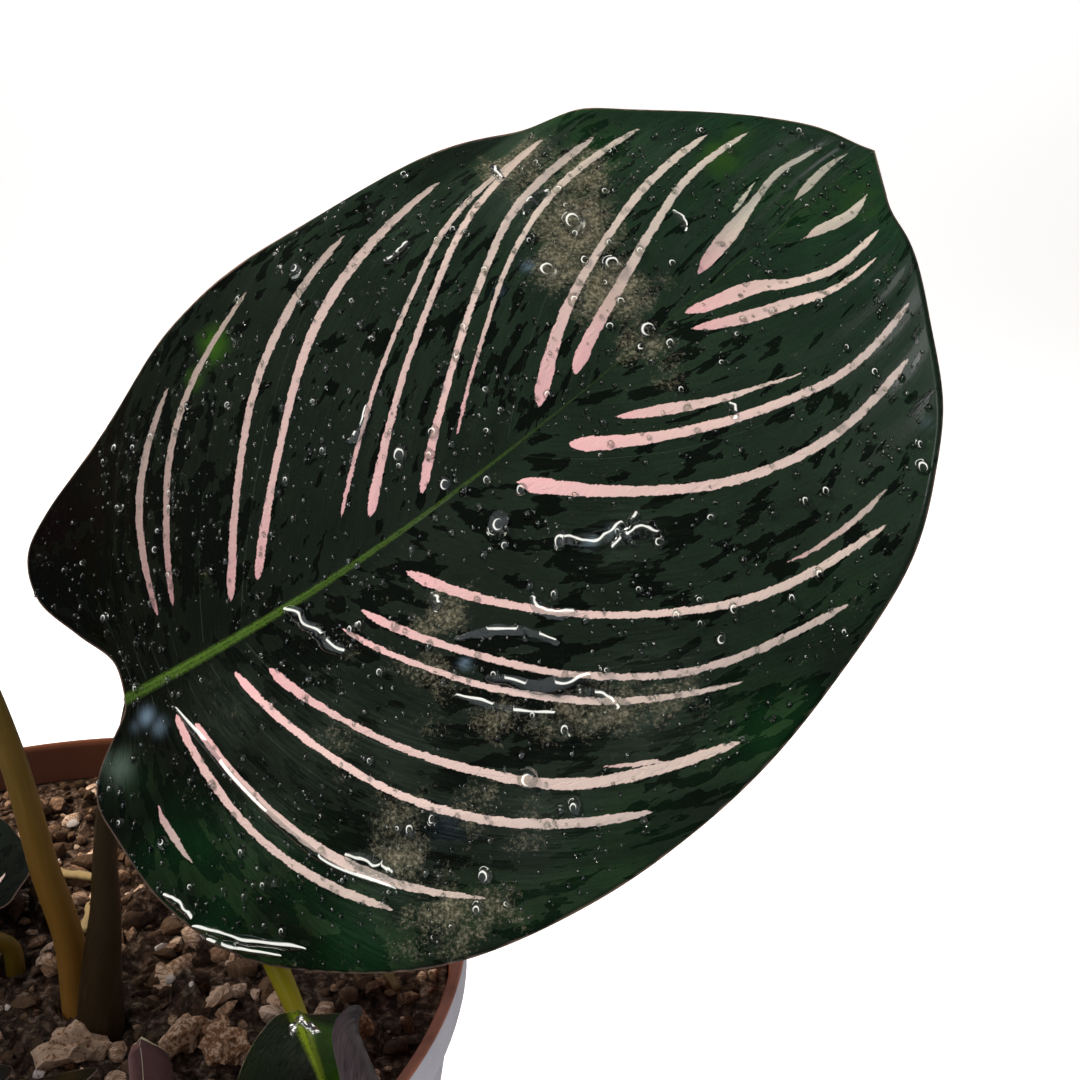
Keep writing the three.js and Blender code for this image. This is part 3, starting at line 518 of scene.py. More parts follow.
def calathea_upper(name, dry_sheen_codes, wet_codes, green_codes, rib_codes, margin_code, wetness):
    """Upper side of a calathea blade: a thin waxy cuticle over dark green cells, which gives a deep colour
    with a tight gloss. Water lies on it as a film in patches, darker and smoother than the damp leaf, which
    is painted paler as if with a sheen of mirrored skylight. Dried hard-water residue dulls it. Pinstripes
    are pale pink tissue with edges as rough as the cells."""
    material, add = new_material(name)
    body = add("TexCoord").outputs["Object"]
    vein = add("Attribute", attribute_name="vein_place").outputs["Vector"]
    tip = add("Attribute", attribute_name="tip_share").outputs["Fac"]
    marks, sheens, lines, looks, *stripe_sets = (
        add("SeparateXYZ", {0: add("Attribute", attribute_name=label).outputs["Vector"]}).outputs
        for label in ("marks", "sheens", "lines", "stripe_looks", "even_stripes", "odd_stripes"))

    # Cells, clouds, and the specks and patches of the residue. Real cells are about 0.05 mm wide, which is
    # too fine to show, so they are drawn at 0.35 mm
    grain, cloud, speck, patch = (
        add("TexNoise", {0: body, "Scale": per_mm(size), "Detail": detail, "Roughness": roughness})
        for size, detail, roughness in ((0.35, 2, 0.7), (12, 2, 0.5), (0.5, 5, 0.8), (3.5, 4, 0.5)))

    # By millimetres across and along the veins: streaks, patches of the film, cells that roughen the stripes'
    # edges finely and coarsely, and the cross veins that hatch the stripes
    streak, film, fine, coarse, hatch = (
        add("TexNoise", {0: add("Mapping", {0: vein, 3: (1 / across, 1 / along, 1 / deep)}), "Scale": 1.0,
                         "Detail": detail, "Roughness": roughness})
        for across, along, deep, detail, roughness in (
            (0.4, 5, 1, 3, 0.6), (3, 5, 1, 4, 0.52), (0.4, 0.4, 0.4, 2, 0.5), (1.3, 1.3, 1.3, 2, 0.5),
            (1.4, 0.2, 1, 2, 0.5)))

    # Film of water: crisp patches that gather in places and thin out towards the tip
    drained = add("MapRange", {0: tip, 1: 0.5, 2: 0.85, 3: 0, 4: 0.03})
    for part, share in ((cloud, 0.5), (marks["Z"], 0.16), (drained, -1)):
        film = add("Math", {0: part, 1: share, 2: film}, operation="MULTIPLY_ADD")
    film = add("MapRange", {0: film, 1: 0.815 - wetness, 2: 0.83 - wetness})
    # Painted reflection: between the film patches the leaf is painted a paler grey for the skylight its
    # rougher surface mirrors, in the dry colours and the first green alike, while the film stays darker
    dry, wet = (add("ValToRGB", {0: tip}, ramp=list(zip((0.05, 0.32, 0.65, 0.95), codes)))
                for codes in (dry_sheen_codes, wet_codes))
    deep = add("Math", {0: cloud, 1: sheens["Z"]}, operation="MULTIPLY")
    deep = add("MapRange", {0: deep, 1: 0.1, 2: 0.5, 3: 0, 4: 0.85})
    colour = add("Mix", {0: film, 6: dry, 7: wet}, data_type="RGBA")
    green = add("Mix", {0: film, 6: green_codes[0], 7: green_codes[1]}, data_type="RGBA")
    colour = add("Mix", {0: deep, 6: colour, 7: green}, data_type="RGBA")
    shade = add("Math", {0: streak, 1: grain}, operation="ADD")
    shade = add("Math", {0: shade, 1: cloud}, operation="ADD")
    shade = add("MapRange", {0: shade, 1: 1.1, 2: 1.9, 3: 0.65, 4: 1.4})
    colour = add("HueSaturation", {"Value": shade, "Color": colour})

    # Painted reflection: skylight mirrored by the film, in grey and in blue, painted into the colour
    layers = []
    for output, code in (("X", "#5c6f60"), ("Y", "#6d8496")):
        sheen = add("Math", {0: streak, 1: 0.9, 2: sheens[output]}, operation="MULTIPLY_ADD")
        sheen = add("MapRange", {0: sheen, 1: 0.5, 2: 1.35, 3: 0, 4: 0.9})
        layers.append((add("Math", {0: sheen, 1: sheens[output]}, operation="MULTIPLY"), code))

    # Side veins: broken hair lines a little paler than the blade
    hair = add("MapRange", {0: lines["Z"], 1: 0.04, 2: 0.11, 3: 1, 4: 0})
    broken = add("MapRange", {0: film, 3: 0.4, 4: 0.16})
    hair = add("Math", {0: hair, 1: broken}, operation="MULTIPLY")
    layers.append((hair, "#48564a"))

    # Dried residue: speckled grey-brown patches
    residue = add("Math", {0: speck, 1: 1.3, 2: patch}, operation="MULTIPLY_ADD")
    residue = add("Math", {0: marks["X"], 1: 0.8, 2: residue}, operation="MULTIPLY_ADD")
    residue = add("MapRange", {0: residue, 1: 1.42, 2: 1.9, 3: 0, 4: 0.85})
    layers.append((residue, add("ValToRGB", {0: speck}, [
        (0.34, "#302e23"), (0.5, "#66624f"), (0.66, "#a29c86")])))

    # Thin yellow-green tissue that lets light through, with the glow of the backlight shining through it
    # painted in
    pale = add("Math", {0: patch, 1: 0.6, 2: marks["Y"]}, operation="MULTIPLY_ADD")
    layers.append((add("MapRange", {0: pale, 1: 0.42, 2: 1.25, 3: 0, 4: 0.85}), "#31580c"))

    # Midrib: a green fibrous band that thins towards the tip
    rib = add("Math", {0: streak, 1: 0.6, 2: lines["X"]}, operation="MULTIPLY_ADD")
    rib = add("MapRange", {0: rib, 1: 0.95, 2: 1.5, 3: 0.95, 4: 0})
    shown = add("MapRange", {0: tip, 1: 0.14, 2: 0.55, 3: 1, 4: 0.2})
    rib = add("Math", {0: rib, 1: shown}, operation="MULTIPLY")
    fibre = add("TexNoise", {0: add("Mapping", {0: lines["X"], 3: (6, 1, 1)}), "Scale": 1.0})
    fibre = add("Math", {0: fibre, 1: grain}, operation="ADD")
    layers.append((rib, add("ValToRGB", {0: fibre}, list(zip((0.8, 1.15), rib_codes)))))

    # Pinstripes, in two sets so that neighbours stay apart, pink at their feet and paler further out
    jag = add("Math", {0: fine, 1: 0.4, 2: -0.45}, operation="MULTIPLY_ADD")
    jag = add("Math", {0: coarse, 1: 0.5, 2: jag}, operation="MULTIPLY_ADD")
    sets = []
    for stripe, output in zip(stripe_sets, "XY"):
        middle = add("Math", {0: stripe["X"]}, operation="ABSOLUTE")
        edge = add("Math", {0: middle, 1: stripe["Y"]}, operation="SUBTRACT")
        edge = add("Math", {0: edge, 1: jag}, operation="ADD")
        mask = add("MapRange", {0: edge, 1: -0.04, 2: 0.05, 3: 1, 4: 0})
        sets.append([mask, *(add("Math", {0: mask, 1: value}, operation="MULTIPLY")
                             for value in (looks[output], stripe["Z"]))])
    pink, lightness, share = (add("Math", {0: a, 1: b}, operation="MAXIMUM") for a, b in zip(*sets))
    share = add("Math", {0: coarse, 1: 0.25, 2: share}, operation="MULTIPLY_ADD")
    tissue = add("ValToRGB", {0: share}, [
        (0.14, "#e2b0b2"), (0.36, "#ddbbb6"), (0.7, "#e0c7bf"), (1.0, "#d3bfb5")])
    tissue = add("Mix", {0: looks["Z"], 6: tissue, 7: "#c6c5b2"}, data_type="RGBA")
    lightness = add("Math", {0: hatch, 1: 0.35, 2: lightness}, operation="MULTIPLY_ADD")
    lightness = add("Math", {0: lightness, 1: 0.18}, operation="SUBTRACT")
    tissue = add("HueSaturation", {"Value": lightness, "Color": tissue})
    crust = add("Math", {0: residue, 1: 0.35}, operation="MULTIPLY")
    layers.append((pink, add("Mix", {0: crust, 6: tissue, 7: "#b3a68f"}, data_type="RGBA")))

    # Margin: a thread of pale dry tissue
    layers.append((add("MapRange", {0: lines["Y"], 1: 0.08, 2: 0.34, 3: 0.8, 4: 0}), margin_code))
    for share, layer in layers:
        colour = add("Mix", {0: share, 6: colour, 7: layer}, data_type="RGBA")

    gloss = add("MapRange", {0: film, 3: 0.34, 4: 0.12})
    for share, rough in ((residue, 0.6), (pink, 0.36)):
        gloss = add("Mix", {0: share, 2: gloss, 3: rough})
    relief = film
    for part, share in ((streak, 0.5), (grain, 0.35), (hair, 1.5), (residue, speck), (pink, 1.2)):
        relief = add("Math", {0: part, 1: share, 2: relief}, operation="MULTIPLY_ADD")
    bump = add("Bump", {"Strength": 0.45, "Distance": 0.12 * MM, "Height": relief})
    surface = add("BsdfPrincipled", {
        "Base Color": colour, "Roughness": gloss, "Normal": bump, "IOR": 1.4, "Coat Weight": 0.3,
        "Coat Roughness": 0.08, "Coat IOR": 1.33})
    add("OutputMaterial", {"Surface": surface})
    return material


def calathea_under(name, deep_code, pale_code, rib_code):
    """Underside of a calathea blade: maroon cells under a matt bloom, which gives a soft wine colour with
    paler ribs that stand out."""
    material, add = new_material(name)
    vein = add("Attribute", attribute_name="vein_place").outputs["Vector"]
    lines = add("SeparateXYZ", {0: add("Attribute", attribute_name="lines").outputs["Vector"]}).outputs
    streak = add("TexNoise", {0: add("Mapping", {0: vein, 3: (1 / 0.9, 1 / 9, 1)}), "Scale": 1.0,
                              "Detail": 4.0, "Roughness": 0.6})
    colour = add("ValToRGB", {0: streak}, [(0.3, deep_code), (0.7, pale_code)])
    for line, low, high, strength in (("Z", 0.06, 0.2, 0.35), ("X", 0.9, 1.6, 0.85)):
        shown = add("MapRange", {0: lines[line], 1: low, 2: high, 3: strength, 4: 0})
        colour = add("Mix", {0: shown, 6: colour, 7: rib_code}, data_type="RGBA")
    bump = add("Bump", {"Strength": 0.4, "Distance": 0.1 * MM, "Height": streak})
    surface = add("BsdfPrincipled", {
        "Base Color": colour, "Roughness": 0.5, "Normal": bump, "IOR": 1.4, "Specular IOR Level": 0.3,
        "Sheen Weight": 0.06})
    add("OutputMaterial", {"Surface": surface})
    return material


def petiole_skin(name, low_code, high_code, line_code):
    """Skin of a leaf stalk: watery green tissue with long fibres, smooth and half translucent, brown where
    the old sheath dries round its foot."""
    material, add = new_material(name)
    place = add("Attribute", attribute_name="stalk_place").outputs["Vector"]
    fibre = add("TexNoise", {0: add("Mapping", {0: place, 3: (1 / 0.35, 1 / 14, 1)}), "Scale": 1.0,
                             "Detail": 4.0, "Roughness": 0.65})
    blotch = add("TexNoise", {0: add("TexCoord").outputs["Object"], "Scale": per_mm(5)})
    height = add("SeparateXYZ", {0: place}).outputs["Z"]
    height = add("Math", {0: blotch, 1: 0.25, 2: height}, operation="MULTIPLY_ADD")
    colour = add("ValToRGB", {0: height}, [(0.3, low_code), (0.75, high_code)])
    line = add("MapRange", {0: fibre, 1: 0.5, 2: 0.72, 3: 0, 4: 0.5})
    colour = add("Mix", {0: line, 6: colour, 7: line_code}, data_type="RGBA")
    bump = add("Bump", {"Strength": 0.5, "Distance": 0.15 * MM, "Height": fibre})
    surface = add("BsdfPrincipled", {
        "Base Color": colour, "Roughness": 0.38, "Normal": bump, "IOR": 1.4, "Subsurface Weight": 0.12,
        "Subsurface Radius": (0.9, 0.7, 0.3), "Subsurface Scale": 1.2 * MM, "Coat Weight": 0.15,
        "Coat Roughness": 0.2})
    add("OutputMaterial", {"Surface": surface})
    return material


def peat(name):
    """Damp peat with fine bark dust: crumbs of 1 to 3 mm in near-black brown, matt, with pale fibres."""
    material, add = new_material(name)
    body = add("TexCoord").outputs["Object"]
    crumb = add("TexNoise", {0: body, "Scale": per_mm(1.5), "Detail": 7.0, "Roughness": 0.72})
    colour = add("ValToRGB", {0: crumb}, [(0.36, "#140f0a"), (0.52, "#46352a"), (0.7, "#9c8673")])
    cells = add("TexVoronoi", {0: body, "Scale": per_mm(1.3)})
    height = add("Math", {0: cells, 1: -0.6, 2: crumb}, operation="MULTIPLY_ADD")
    bump = add("Bump", {"Strength": 1.0, "Distance": 0.8 * MM, "Height": height})
    surface = add("BsdfPrincipled", {
        "Base Color": colour, "Roughness": 0.85, "Normal": bump, "Specular IOR Level": 0.3})
    add("OutputMaterial", {"Surface": surface})
    return material


def broken_bits(name, ramp, grain, roughness, bump_depth):
    """Broken bark, clods, pumice or straw. Each bit has its own tone, and its texture follows it: long fibres
    in bark and straw, and crumbs or pits in the others."""
    material, add = new_material(name)
    tone = add("Attribute", attribute_name="bit_tone").outputs["Fac"]
    place = add("Attribute", attribute_name="bit_place").outputs["Vector"]
    fibre = add("TexNoise", {0: add("Mapping", {0: place, 3: grain}), "Scale": 1.0, "Detail": 6.0,
                             "Roughness": 0.75})
    colour = add("ValToRGB", {0: add("Math", {0: fibre, 1: 0.9, 2: tone}, operation="MULTIPLY_ADD")}, ramp)
    bump = add("Bump", {"Strength": 0.9, "Distance": bump_depth * MM, "Height": fibre})
    surface = add("BsdfPrincipled", {
        "Base Color": colour, "Roughness": roughness, "Normal": bump, "Specular IOR Level": 0.3})
    add("OutputMaterial", {"Surface": surface})
    return material


def polypropylene(name, code, dark_code, roughness, back_shade_code=None):
    """Thin moulded polypropylene: a soft sheen with faint flow marks, and dust that dulls it in places. Where
    a shade colour is given, painted shade darkens it towards the back, where the inner wall faces away from
    the sun."""
    material, add = new_material(name)
    body = add("TexCoord").outputs["Object"]
    flow = add("TexNoise", {0: add("Mapping", {0: body, 3: (per_mm(6), per_mm(6), per_mm(40))}), "Scale": 1.0,
                            "Detail": 4.0, "Roughness": 0.6})
    colour = add("ValToRGB", {0: flow}, [(0.3, dark_code), (0.6, code)])
    if back_shade_code:
        # Painted shade: the colour darkens towards the back (+Y), where the inner wall lies in shadow
        back = add("SeparateXYZ", {0: body}).outputs["Y"]
        damp = add("MapRange", {0: back, 1: 0, 2: 40 * MM, 3: 0, 4: 0.85})
        colour = add("Mix", {0: damp, 6: colour, 7: back_shade_code}, data_type="RGBA")
    dust = add("TexNoise", {0: body, "Scale": per_mm(0.8), "Detail": 3.0})
    dulled = add("MapRange", {0: dust, 1: 0.35, 2: 0.7, 3: roughness, 4: roughness + 0.2})
    bump = add("Bump", {"Strength": 0.25, "Distance": 0.05 * MM, "Height": dust})
    surface = add("BsdfPrincipled", {
        "Base Color": colour, "Roughness": dulled, "Normal": bump, "IOR": 1.49, "Subsurface Weight": 0.08,
        "Subsurface Scale": 1.2 * MM})
    add("OutputMaterial", {"Surface": surface})
    return material


def clear_water(name):
    """Tap water in drops: clear, and black over the leaf because it mirrors little. The sun that a drop
    gathers is painted as a glowing white crescent round its crown, or as a thread along a trail."""
    material, add = new_material(name)
    place = add("Attribute", attribute_name="glint_place").outputs["Vector"]
    outer, inner = (
        add("MapRange", {0: add("VectorMath", {0: place, 1: centre}, operation="DISTANCE"), 1: radius,
                         2: radius + 0.07, 3: begin, 4: 1 - begin})
        for centre, radius, begin in (((0.1, -0.1, 0), 0.5, 1), ((0.22, -0.04, 0), 0.42, 0)))
    crescent = add("Math", {0: outer, 1: inner}, operation="MULTIPLY")
    # Painted highlight: the crescent is given out as emission, so it glows on its own
    glint = add("Mix", {0: crescent, 6: "#000000", 7: "#efede6"}, data_type="RGBA")
    skin = add("TexNoise", {0: add("TexCoord").outputs["Object"], "Scale": per_mm(1.5)})
    bump = add("Bump", {"Strength": 0.12, "Distance": 0.1 * MM, "Height": skin})
    surface = add("BsdfPrincipled", {
        "Base Color": "#dde3df", "Roughness": 0.02, "Normal": bump, "IOR": 1.333, "Transmission Weight": 1.0,
        "Emission Color": glint, "Emission Strength": 1.0})
    add("OutputMaterial", {"Surface": surface})
    return material


# Mesh helpers

def new_object(name, points, faces, materials, face_material=None, attributes=None):
    """A smooth mesh object in metres from points in millimetres."""
    mesh = bpy.data.meshes.new(name)
    mesh.from_pydata((np.asarray(points) * MM).tolist(), [], faces)
    for material in materials:
        mesh.materials.append(material)
    if face_material is not None:
        mesh.polygons.foreach_set("material_index", np.asarray(face_material, np.int32))
    mesh.polygons.foreach_set("use_smooth", np.ones(len(mesh.polygons), bool))
    for label, values in (attributes or {}).items():
        values = np.asarray(values, np.float32)
        kind, field = ("FLOAT_VECTOR", "vector") if values.ndim == 2 else ("FLOAT", "value")
        mesh.attributes.new(label, kind, "POINT").data.foreach_set(field, values.ravel())
    mesh.validate()
    mesh.update()
    made = bpy.data.objects.new(name, mesh)
    SCENE.collection.objects.link(made)
    return made


def new_piece(*shape, **looks):
    """A new object that rides on the plant's body."""
    piece = new_object(*shape, **looks)
    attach(piece, "root")
    return piece


# Blades

def stripe_set(half, flat, stripes):
    """For each place on the flat half, in millimetres: the offset from the nearest stripe's middle and its
    half width, which is below nought beyond its ends and far off; then the share of its length, its lightness
    and how far it has faded, which grows on the way out."""
    best = np.full(flat.shape[:2], FAR)
    field = np.zeros(flat.shape[:2] + (5,))
    for begin, end, places, widths, lightness, faded in stripes:
        t = np.linspace(0, 1, STRIPE_STEPS)
        line = half.flat_point(read_even(places, t), begin + (end - begin) * t)
        _, length = share_of_length(line)
        before = line[0] - unit(line[1] - line[0]) * STRIPE_REACH
        beyond = line[-1] + unit(line[-1] - line[-2]) * STRIPE_REACH
        line = np.concatenate([[before], line, [beyond]])
        step = np.diff(line, axis=0)
        sizes = np.linalg.norm(step, axis=1)
        starts = np.concatenate([[0], np.cumsum(sizes)[:-1]]) - STRIPE_REACH
        away = flat[:, :, None, :] - line[None, None, :-1, :]
        reach = np.clip((away * step).sum(-1) / sizes ** 2, 0, 1)
        gap = np.linalg.norm(away - reach[..., None] * step, axis=-1)
        turn = step[:, 0] * away[..., 1] - step[:, 1] * away[..., 0]
        nearest = gap.argmin(-1)[..., None]
        gap, reach, turn = (np.take_along_axis(values, nearest, -1)[..., 0] for values in (gap, reach, turn))
        run = starts[nearest[..., 0]] + reach * sizes[nearest[..., 0]]
        foot, tip = np.clip(run / STRIPE_FOOT, 0, 1), np.clip((length - run) / STRIPE_TIP, 0, 1)
        half_width = read_even(widths, run / length) / 2 * np.sqrt(foot) * tip ** 0.6
        half_width = half_width - np.maximum(-run, 0) - np.maximum(run - length, 0)
        half_width = half_width - STRIPE_REACH * smooth_step(gap - half_width, *STRIPE_CLEARANCE)
        edge = gap - half_width
        closer = (edge < best)[..., None]
        best = np.minimum(best, edge)
        fading = faded * smooth_step(begin + (end - begin) * run / length, *STRIPE_FADES)
        found = np.stack([np.where(turn < 0, -gap, gap), half_width, run / length,
                          np.full_like(gap, lightness), fading], axis=-1)
        field = np.where(closer, found, field)
    return field, best


def stripe_fields(half, flat):
    """The stripes as two sets, taken in turn along the leaf, and the looks of both."""
    (even, even_edge), (odd, odd_edge) = (stripe_set(half, flat, half.stripes[k::2]) for k in (0, 1))
    faded = np.where(even_edge < odd_edge, even[..., 4], odd[..., 4])
    return {
        "even_stripes": even[..., :3],
        "odd_stripes": odd[..., :3],
        "stripe_looks": np.stack([even[..., 3], odd[..., 3], faded], axis=-1),
    }


def distance_to_margin(half, flat):
    best = np.full(flat.shape[:2], FAR)
    for block in np.array_split(half.margin[::2], MARGIN_BLOCKS):
        gap = np.linalg.norm(flat[:, :, None, :] - block[None, None], axis=-1).min(-1)
        best = np.minimum(best, gap)
    return best


def mark_field(marks, flat, side):
    total = np.zeros(flat.shape[:2])
    for x, y, radius, strength in marks:
        gap = (flat[..., 0] - x) ** 2 + (flat[..., 1] * side - y) ** 2
        total = np.maximum(total, strength * np.exp(-gap / radius ** 2))
    return total


def shape_half(leaf, midrib, side_name, marked):
    """The upper and lower face of half a blade on a grid, with what its materials read there."""
    half = HALVES[side_name]
    rows, columns = leaf["grid"]
    even, across = np.meshgrid(np.linspace(0, 1, rows + 1),
                               np.linspace(0, 1, columns + 1) ** COLUMN_CROWDING, indexing="ij")
    along = np.repeat(even_rows(rows)[:, None], columns + 1, axis=1)
    flat = half.flat_point(along, across)
    y = flat[..., 1] * midrib.scale
    x = flat[..., 0] * midrib.scale + leaf.get("sweep", 0) * y
    droop, curl, base_curl, plain, breadth = (*leaf[side_name], 0, leaf["breadth"])[:5]
    droop = math.radians(droop)
    unrolled = smooth_step(x / midrib.length, 0, UNROLLED_SHARE)
    curl = math.radians(curl) * (base_curl + (1 - base_curl) * unrolled)
    point, _, right, up = midrib.at(x)
    straight = np.minimum(y * breadth, plain)
    tilt = droop + curl * (y * breadth - straight)
    out = straight * math.cos(droop) + (np.sin(tilt) - math.sin(droop)) / curl
    down = straight * math.sin(droop) + (math.cos(droop) - np.cos(tilt)) / curl
    point = point - half.side * out[..., None] * right - down[..., None] * up
    tilt = np.where((across == 0) | (even == 1), 0, tilt)
    normal = unit(up * np.cos(tilt)[..., None] - half.side * right * np.sin(tilt)[..., None])

    margin = distance_to_margin(half, flat)
    from_rib = np.abs(flat[..., 1])
    ripple = leaf["wave"] * across ** 3 * np.sin(along * np.pi) * np.sin(along * 2 * RIPPLES * np.pi)
    pleat = PLEAT_DEPTH * np.sin(even * PLEATS * 2 * np.pi) * smooth_step(from_rib, 0.5, 6)
    pleat = pleat * smooth_step(margin, 0, 4) * midrib.scale
    raised = RAISED_RIB * np.exp(-(from_rib / RAISED_RIB_WIDTH) ** 2)
    raised = raised * np.clip(1.1 - flat[..., 0] / RAISED_RIB_RUN, 0, 1) * (even > 0)
    top = point + normal * (ripple + pleat + raised * midrib.scale)[..., None]
    ridge = MIDRIB_HEIGHT * (1.08 - x / midrib.length) * smooth_step(x, 0, MIDRIB_RUN_IN * midrib.scale)
    ridge = ridge * np.exp(-(from_rib / MIDRIB_HALF_WIDTH) ** 2) * midrib.scale
    body = EDGE_THICKNESS + (FULL_THICKNESS - EDGE_THICKNESS) * smooth_step(margin, 0, EDGE_TAPER)
    bottom = point + normal * (ripple + pleat - ridge - body)[..., None]

    vein_length = np.cumsum(np.linalg.norm(np.diff(flat, axis=1), axis=-1), axis=1)
    vein_length = np.concatenate([np.zeros((rows + 1, 1)), vein_length], axis=1)
    vein_place = np.stack([even * VEIN_SPREAD, vein_length, np.full_like(even, 40 * half.side)], axis=-1)
    rib_width = leaf["rib"] * np.maximum(1 - flat[..., 0] / 92, 0.14)
    phase = (even * SIDE_VEINS + 0.5) % 1
    vein_gap = np.abs(phase - 0.5) * np.linalg.norm(np.gradient(flat, axis=0), axis=-1) * rows / SIDE_VEINS
    vein_gap = np.minimum(vein_gap, 2) + 2 * (from_rib < 1.2)
    dust, pale, wet, grey, blue, green = (mark_field(marks if marked else [], flat, half.side) for marks in (
        DUST_MARKS, PALE_BACKLIT_MARKS, WET_MARKS, GREY_REFLECTION_MARKS, BLUE_REFLECTION_MARKS, GREEN_MARKS))
    if side_name == leaf.get("green_half"):
        pale = pale + GREEN_HALF_PALENESS
    stripes = stripe_fields(half, flat)
    if not leaf["striped"]:
        for label in ("even_stripes", "odd_stripes"):
            stripes[label][..., 1] = -STRIPE_REACH
    return {
        "flat": flat, "top": top, "bottom": bottom, "normal": normal, "side": half.side,
        "attributes": {
            "vein_place": vein_place,
            **stripes,
            "marks": np.stack([dust, pale, wet], axis=-1),
            "sheens": np.stack([grey, blue, green], axis=-1),
            "lines": np.stack([from_rib / rib_width, margin, vein_gap], axis=-1),
            "tip_share": flat[..., 0] / BLADE_LENGTH,
        },
    }


def blade_piece(name, halves, materials):
    """Both halves as one closed mesh. They share the midrib's vertices, and the last row is one point."""
    points, values, faces, face_material = [], {key: [] for key in halves[0]["attributes"]}, [], []
    shared = {}
    for data in halves:
        rows, columns = (n - 1 for n in data["top"].shape[:2])
        grids = {}
        for level in ("top", "bottom"):
            ids = np.zeros((rows + 1, columns + 1), int)
            fresh = np.ones(ids.shape, bool)
            fresh[rows, 1:] = False
            if level in shared:
                fresh[:, 0] = False
            ids[fresh] = sum(len(block) for block in points) + np.arange(fresh.sum())
            points.append(data[level][fresh])
            for key, grid in data["attributes"].items():
                values[key].append(grid[fresh])
            shared.setdefault(level, ids[:, 0].copy())
            ids[:, 0] = shared[level]
            ids[rows, :] = shared[level][rows]
            grids[level] = ids
        for level, kind in (("top", 0), ("bottom", 1)):
            ids = grids[level]
            quads = np.stack([ids[:-1, :-1], ids[1:, :-1], ids[1:, 1:], ids[:-1, 1:]], axis=-1).reshape(-1, 4)
            if (data["side"] < 0) != (level == "bottom"):
                quads = quads[:, ::-1]
            faces += [tuple(dict.fromkeys(quad)) for quad in quads.tolist()]
            face_material += [kind] * len(quads)
        top, bottom = grids["top"], grids["bottom"]
        around = [(r, columns) for r in range(rows)] + [(rows, 0)]
        base = [(0, c) for c in range(columns, -1, -1)]
        for path in (around, base):
            for (r, c), (r2, c2) in zip(path, path[1:]):
                wall = [top[r, c], top[r2, c2], bottom[r2, c2], bottom[r, c]]
                if (path is base) != (data["side"] < 0):
                    wall.reverse()
                faces.append(tuple(int(k) for k in dict.fromkeys(wall)))
                face_material.append(0)
    attributes = {key: np.concatenate(blocks) for key, blocks in values.items()}
    faces, face_material = zip(*[(f, m) for f, m in zip(faces, face_material) if len(f) > 2])
    return new_piece(name, np.concatenate(points), faces, materials, face_material, attributes=attributes)


# Stalks

def stalk_line(leaf, count):
    """The stalk's middle line, which is a centripetal spline as in the part."""
    base, along, _, up = (values[0] for values in Midrib(leaf).at(np.zeros(1)))
    radius = leaf["radii"][-1]
    end = base - up * (radius + BLADE_THICKNESS + BLADE_SEAT) - along * BLADE_SEAT
    rooted = [-SOIL_DROP - ROOTED_DEPTH, -SOIL_DROP - ROOTED_DEPTH / 2, -SOIL_DROP - 1]
    points = [from_rim(place) for place in [(*leaf["foot"], height) for height in rooted] + leaf["stalk"]]
    points += [end - along * leaf["run_in"] * radius, end] if leaf["run_in"] else [end]
    points = np.array([2 * points[0] - points[1], *points, 2 * points[-1] - points[-2]])
    t = np.linspace(0, 1, SPLINE_STEPS)[:, None]
    line = []
    for p0, p1, p2, p3 in zip(points, points[1:], points[2:], points[3:]):
        d0, d1, d2 = (max(np.linalg.norm(b - a) ** 0.5, 1e-4) for a, b in ((p0, p1), (p1, p2), (p2, p3)))
        m1 = d1 * ((p1 - p0) / d0 - (p2 - p0) / (d0 + d1) + (p2 - p1) / d1)
        m2 = d1 * ((p2 - p1) / d1 - (p3 - p1) / (d1 + d2) + (p3 - p2) / d2)
        line.append(hermite(t, p1, m1, p2, m2))
    line = np.concatenate([line[0]] + [part[1:] for part in line[1:]])
    shares, length = share_of_length(line)
    return read_polyline(line, shares, np.linspace(0, 1, count + 1)), length


def into_midrib(leaf, line):
    """The stalk's last stretch, which bends into the midrib's ridge on the underside of the blade."""
    base, along, _, up = (values[0] for values in Midrib(leaf).at(np.zeros(1)))
    radius = leaf["radii"][-1]
    end = base + along * JOINT_REACH * radius - up * (BLADE_THICKNESS / 2 + JOINT_DEPTH * radius)
    reach = np.linalg.norm(end - line[-1])
    t = np.linspace(0, 1, JOINT_STEPS + 1)[1:, None]
    return hermite(t, line[-1], reach * unit(line[-1] - line[-2]), end, reach * along)


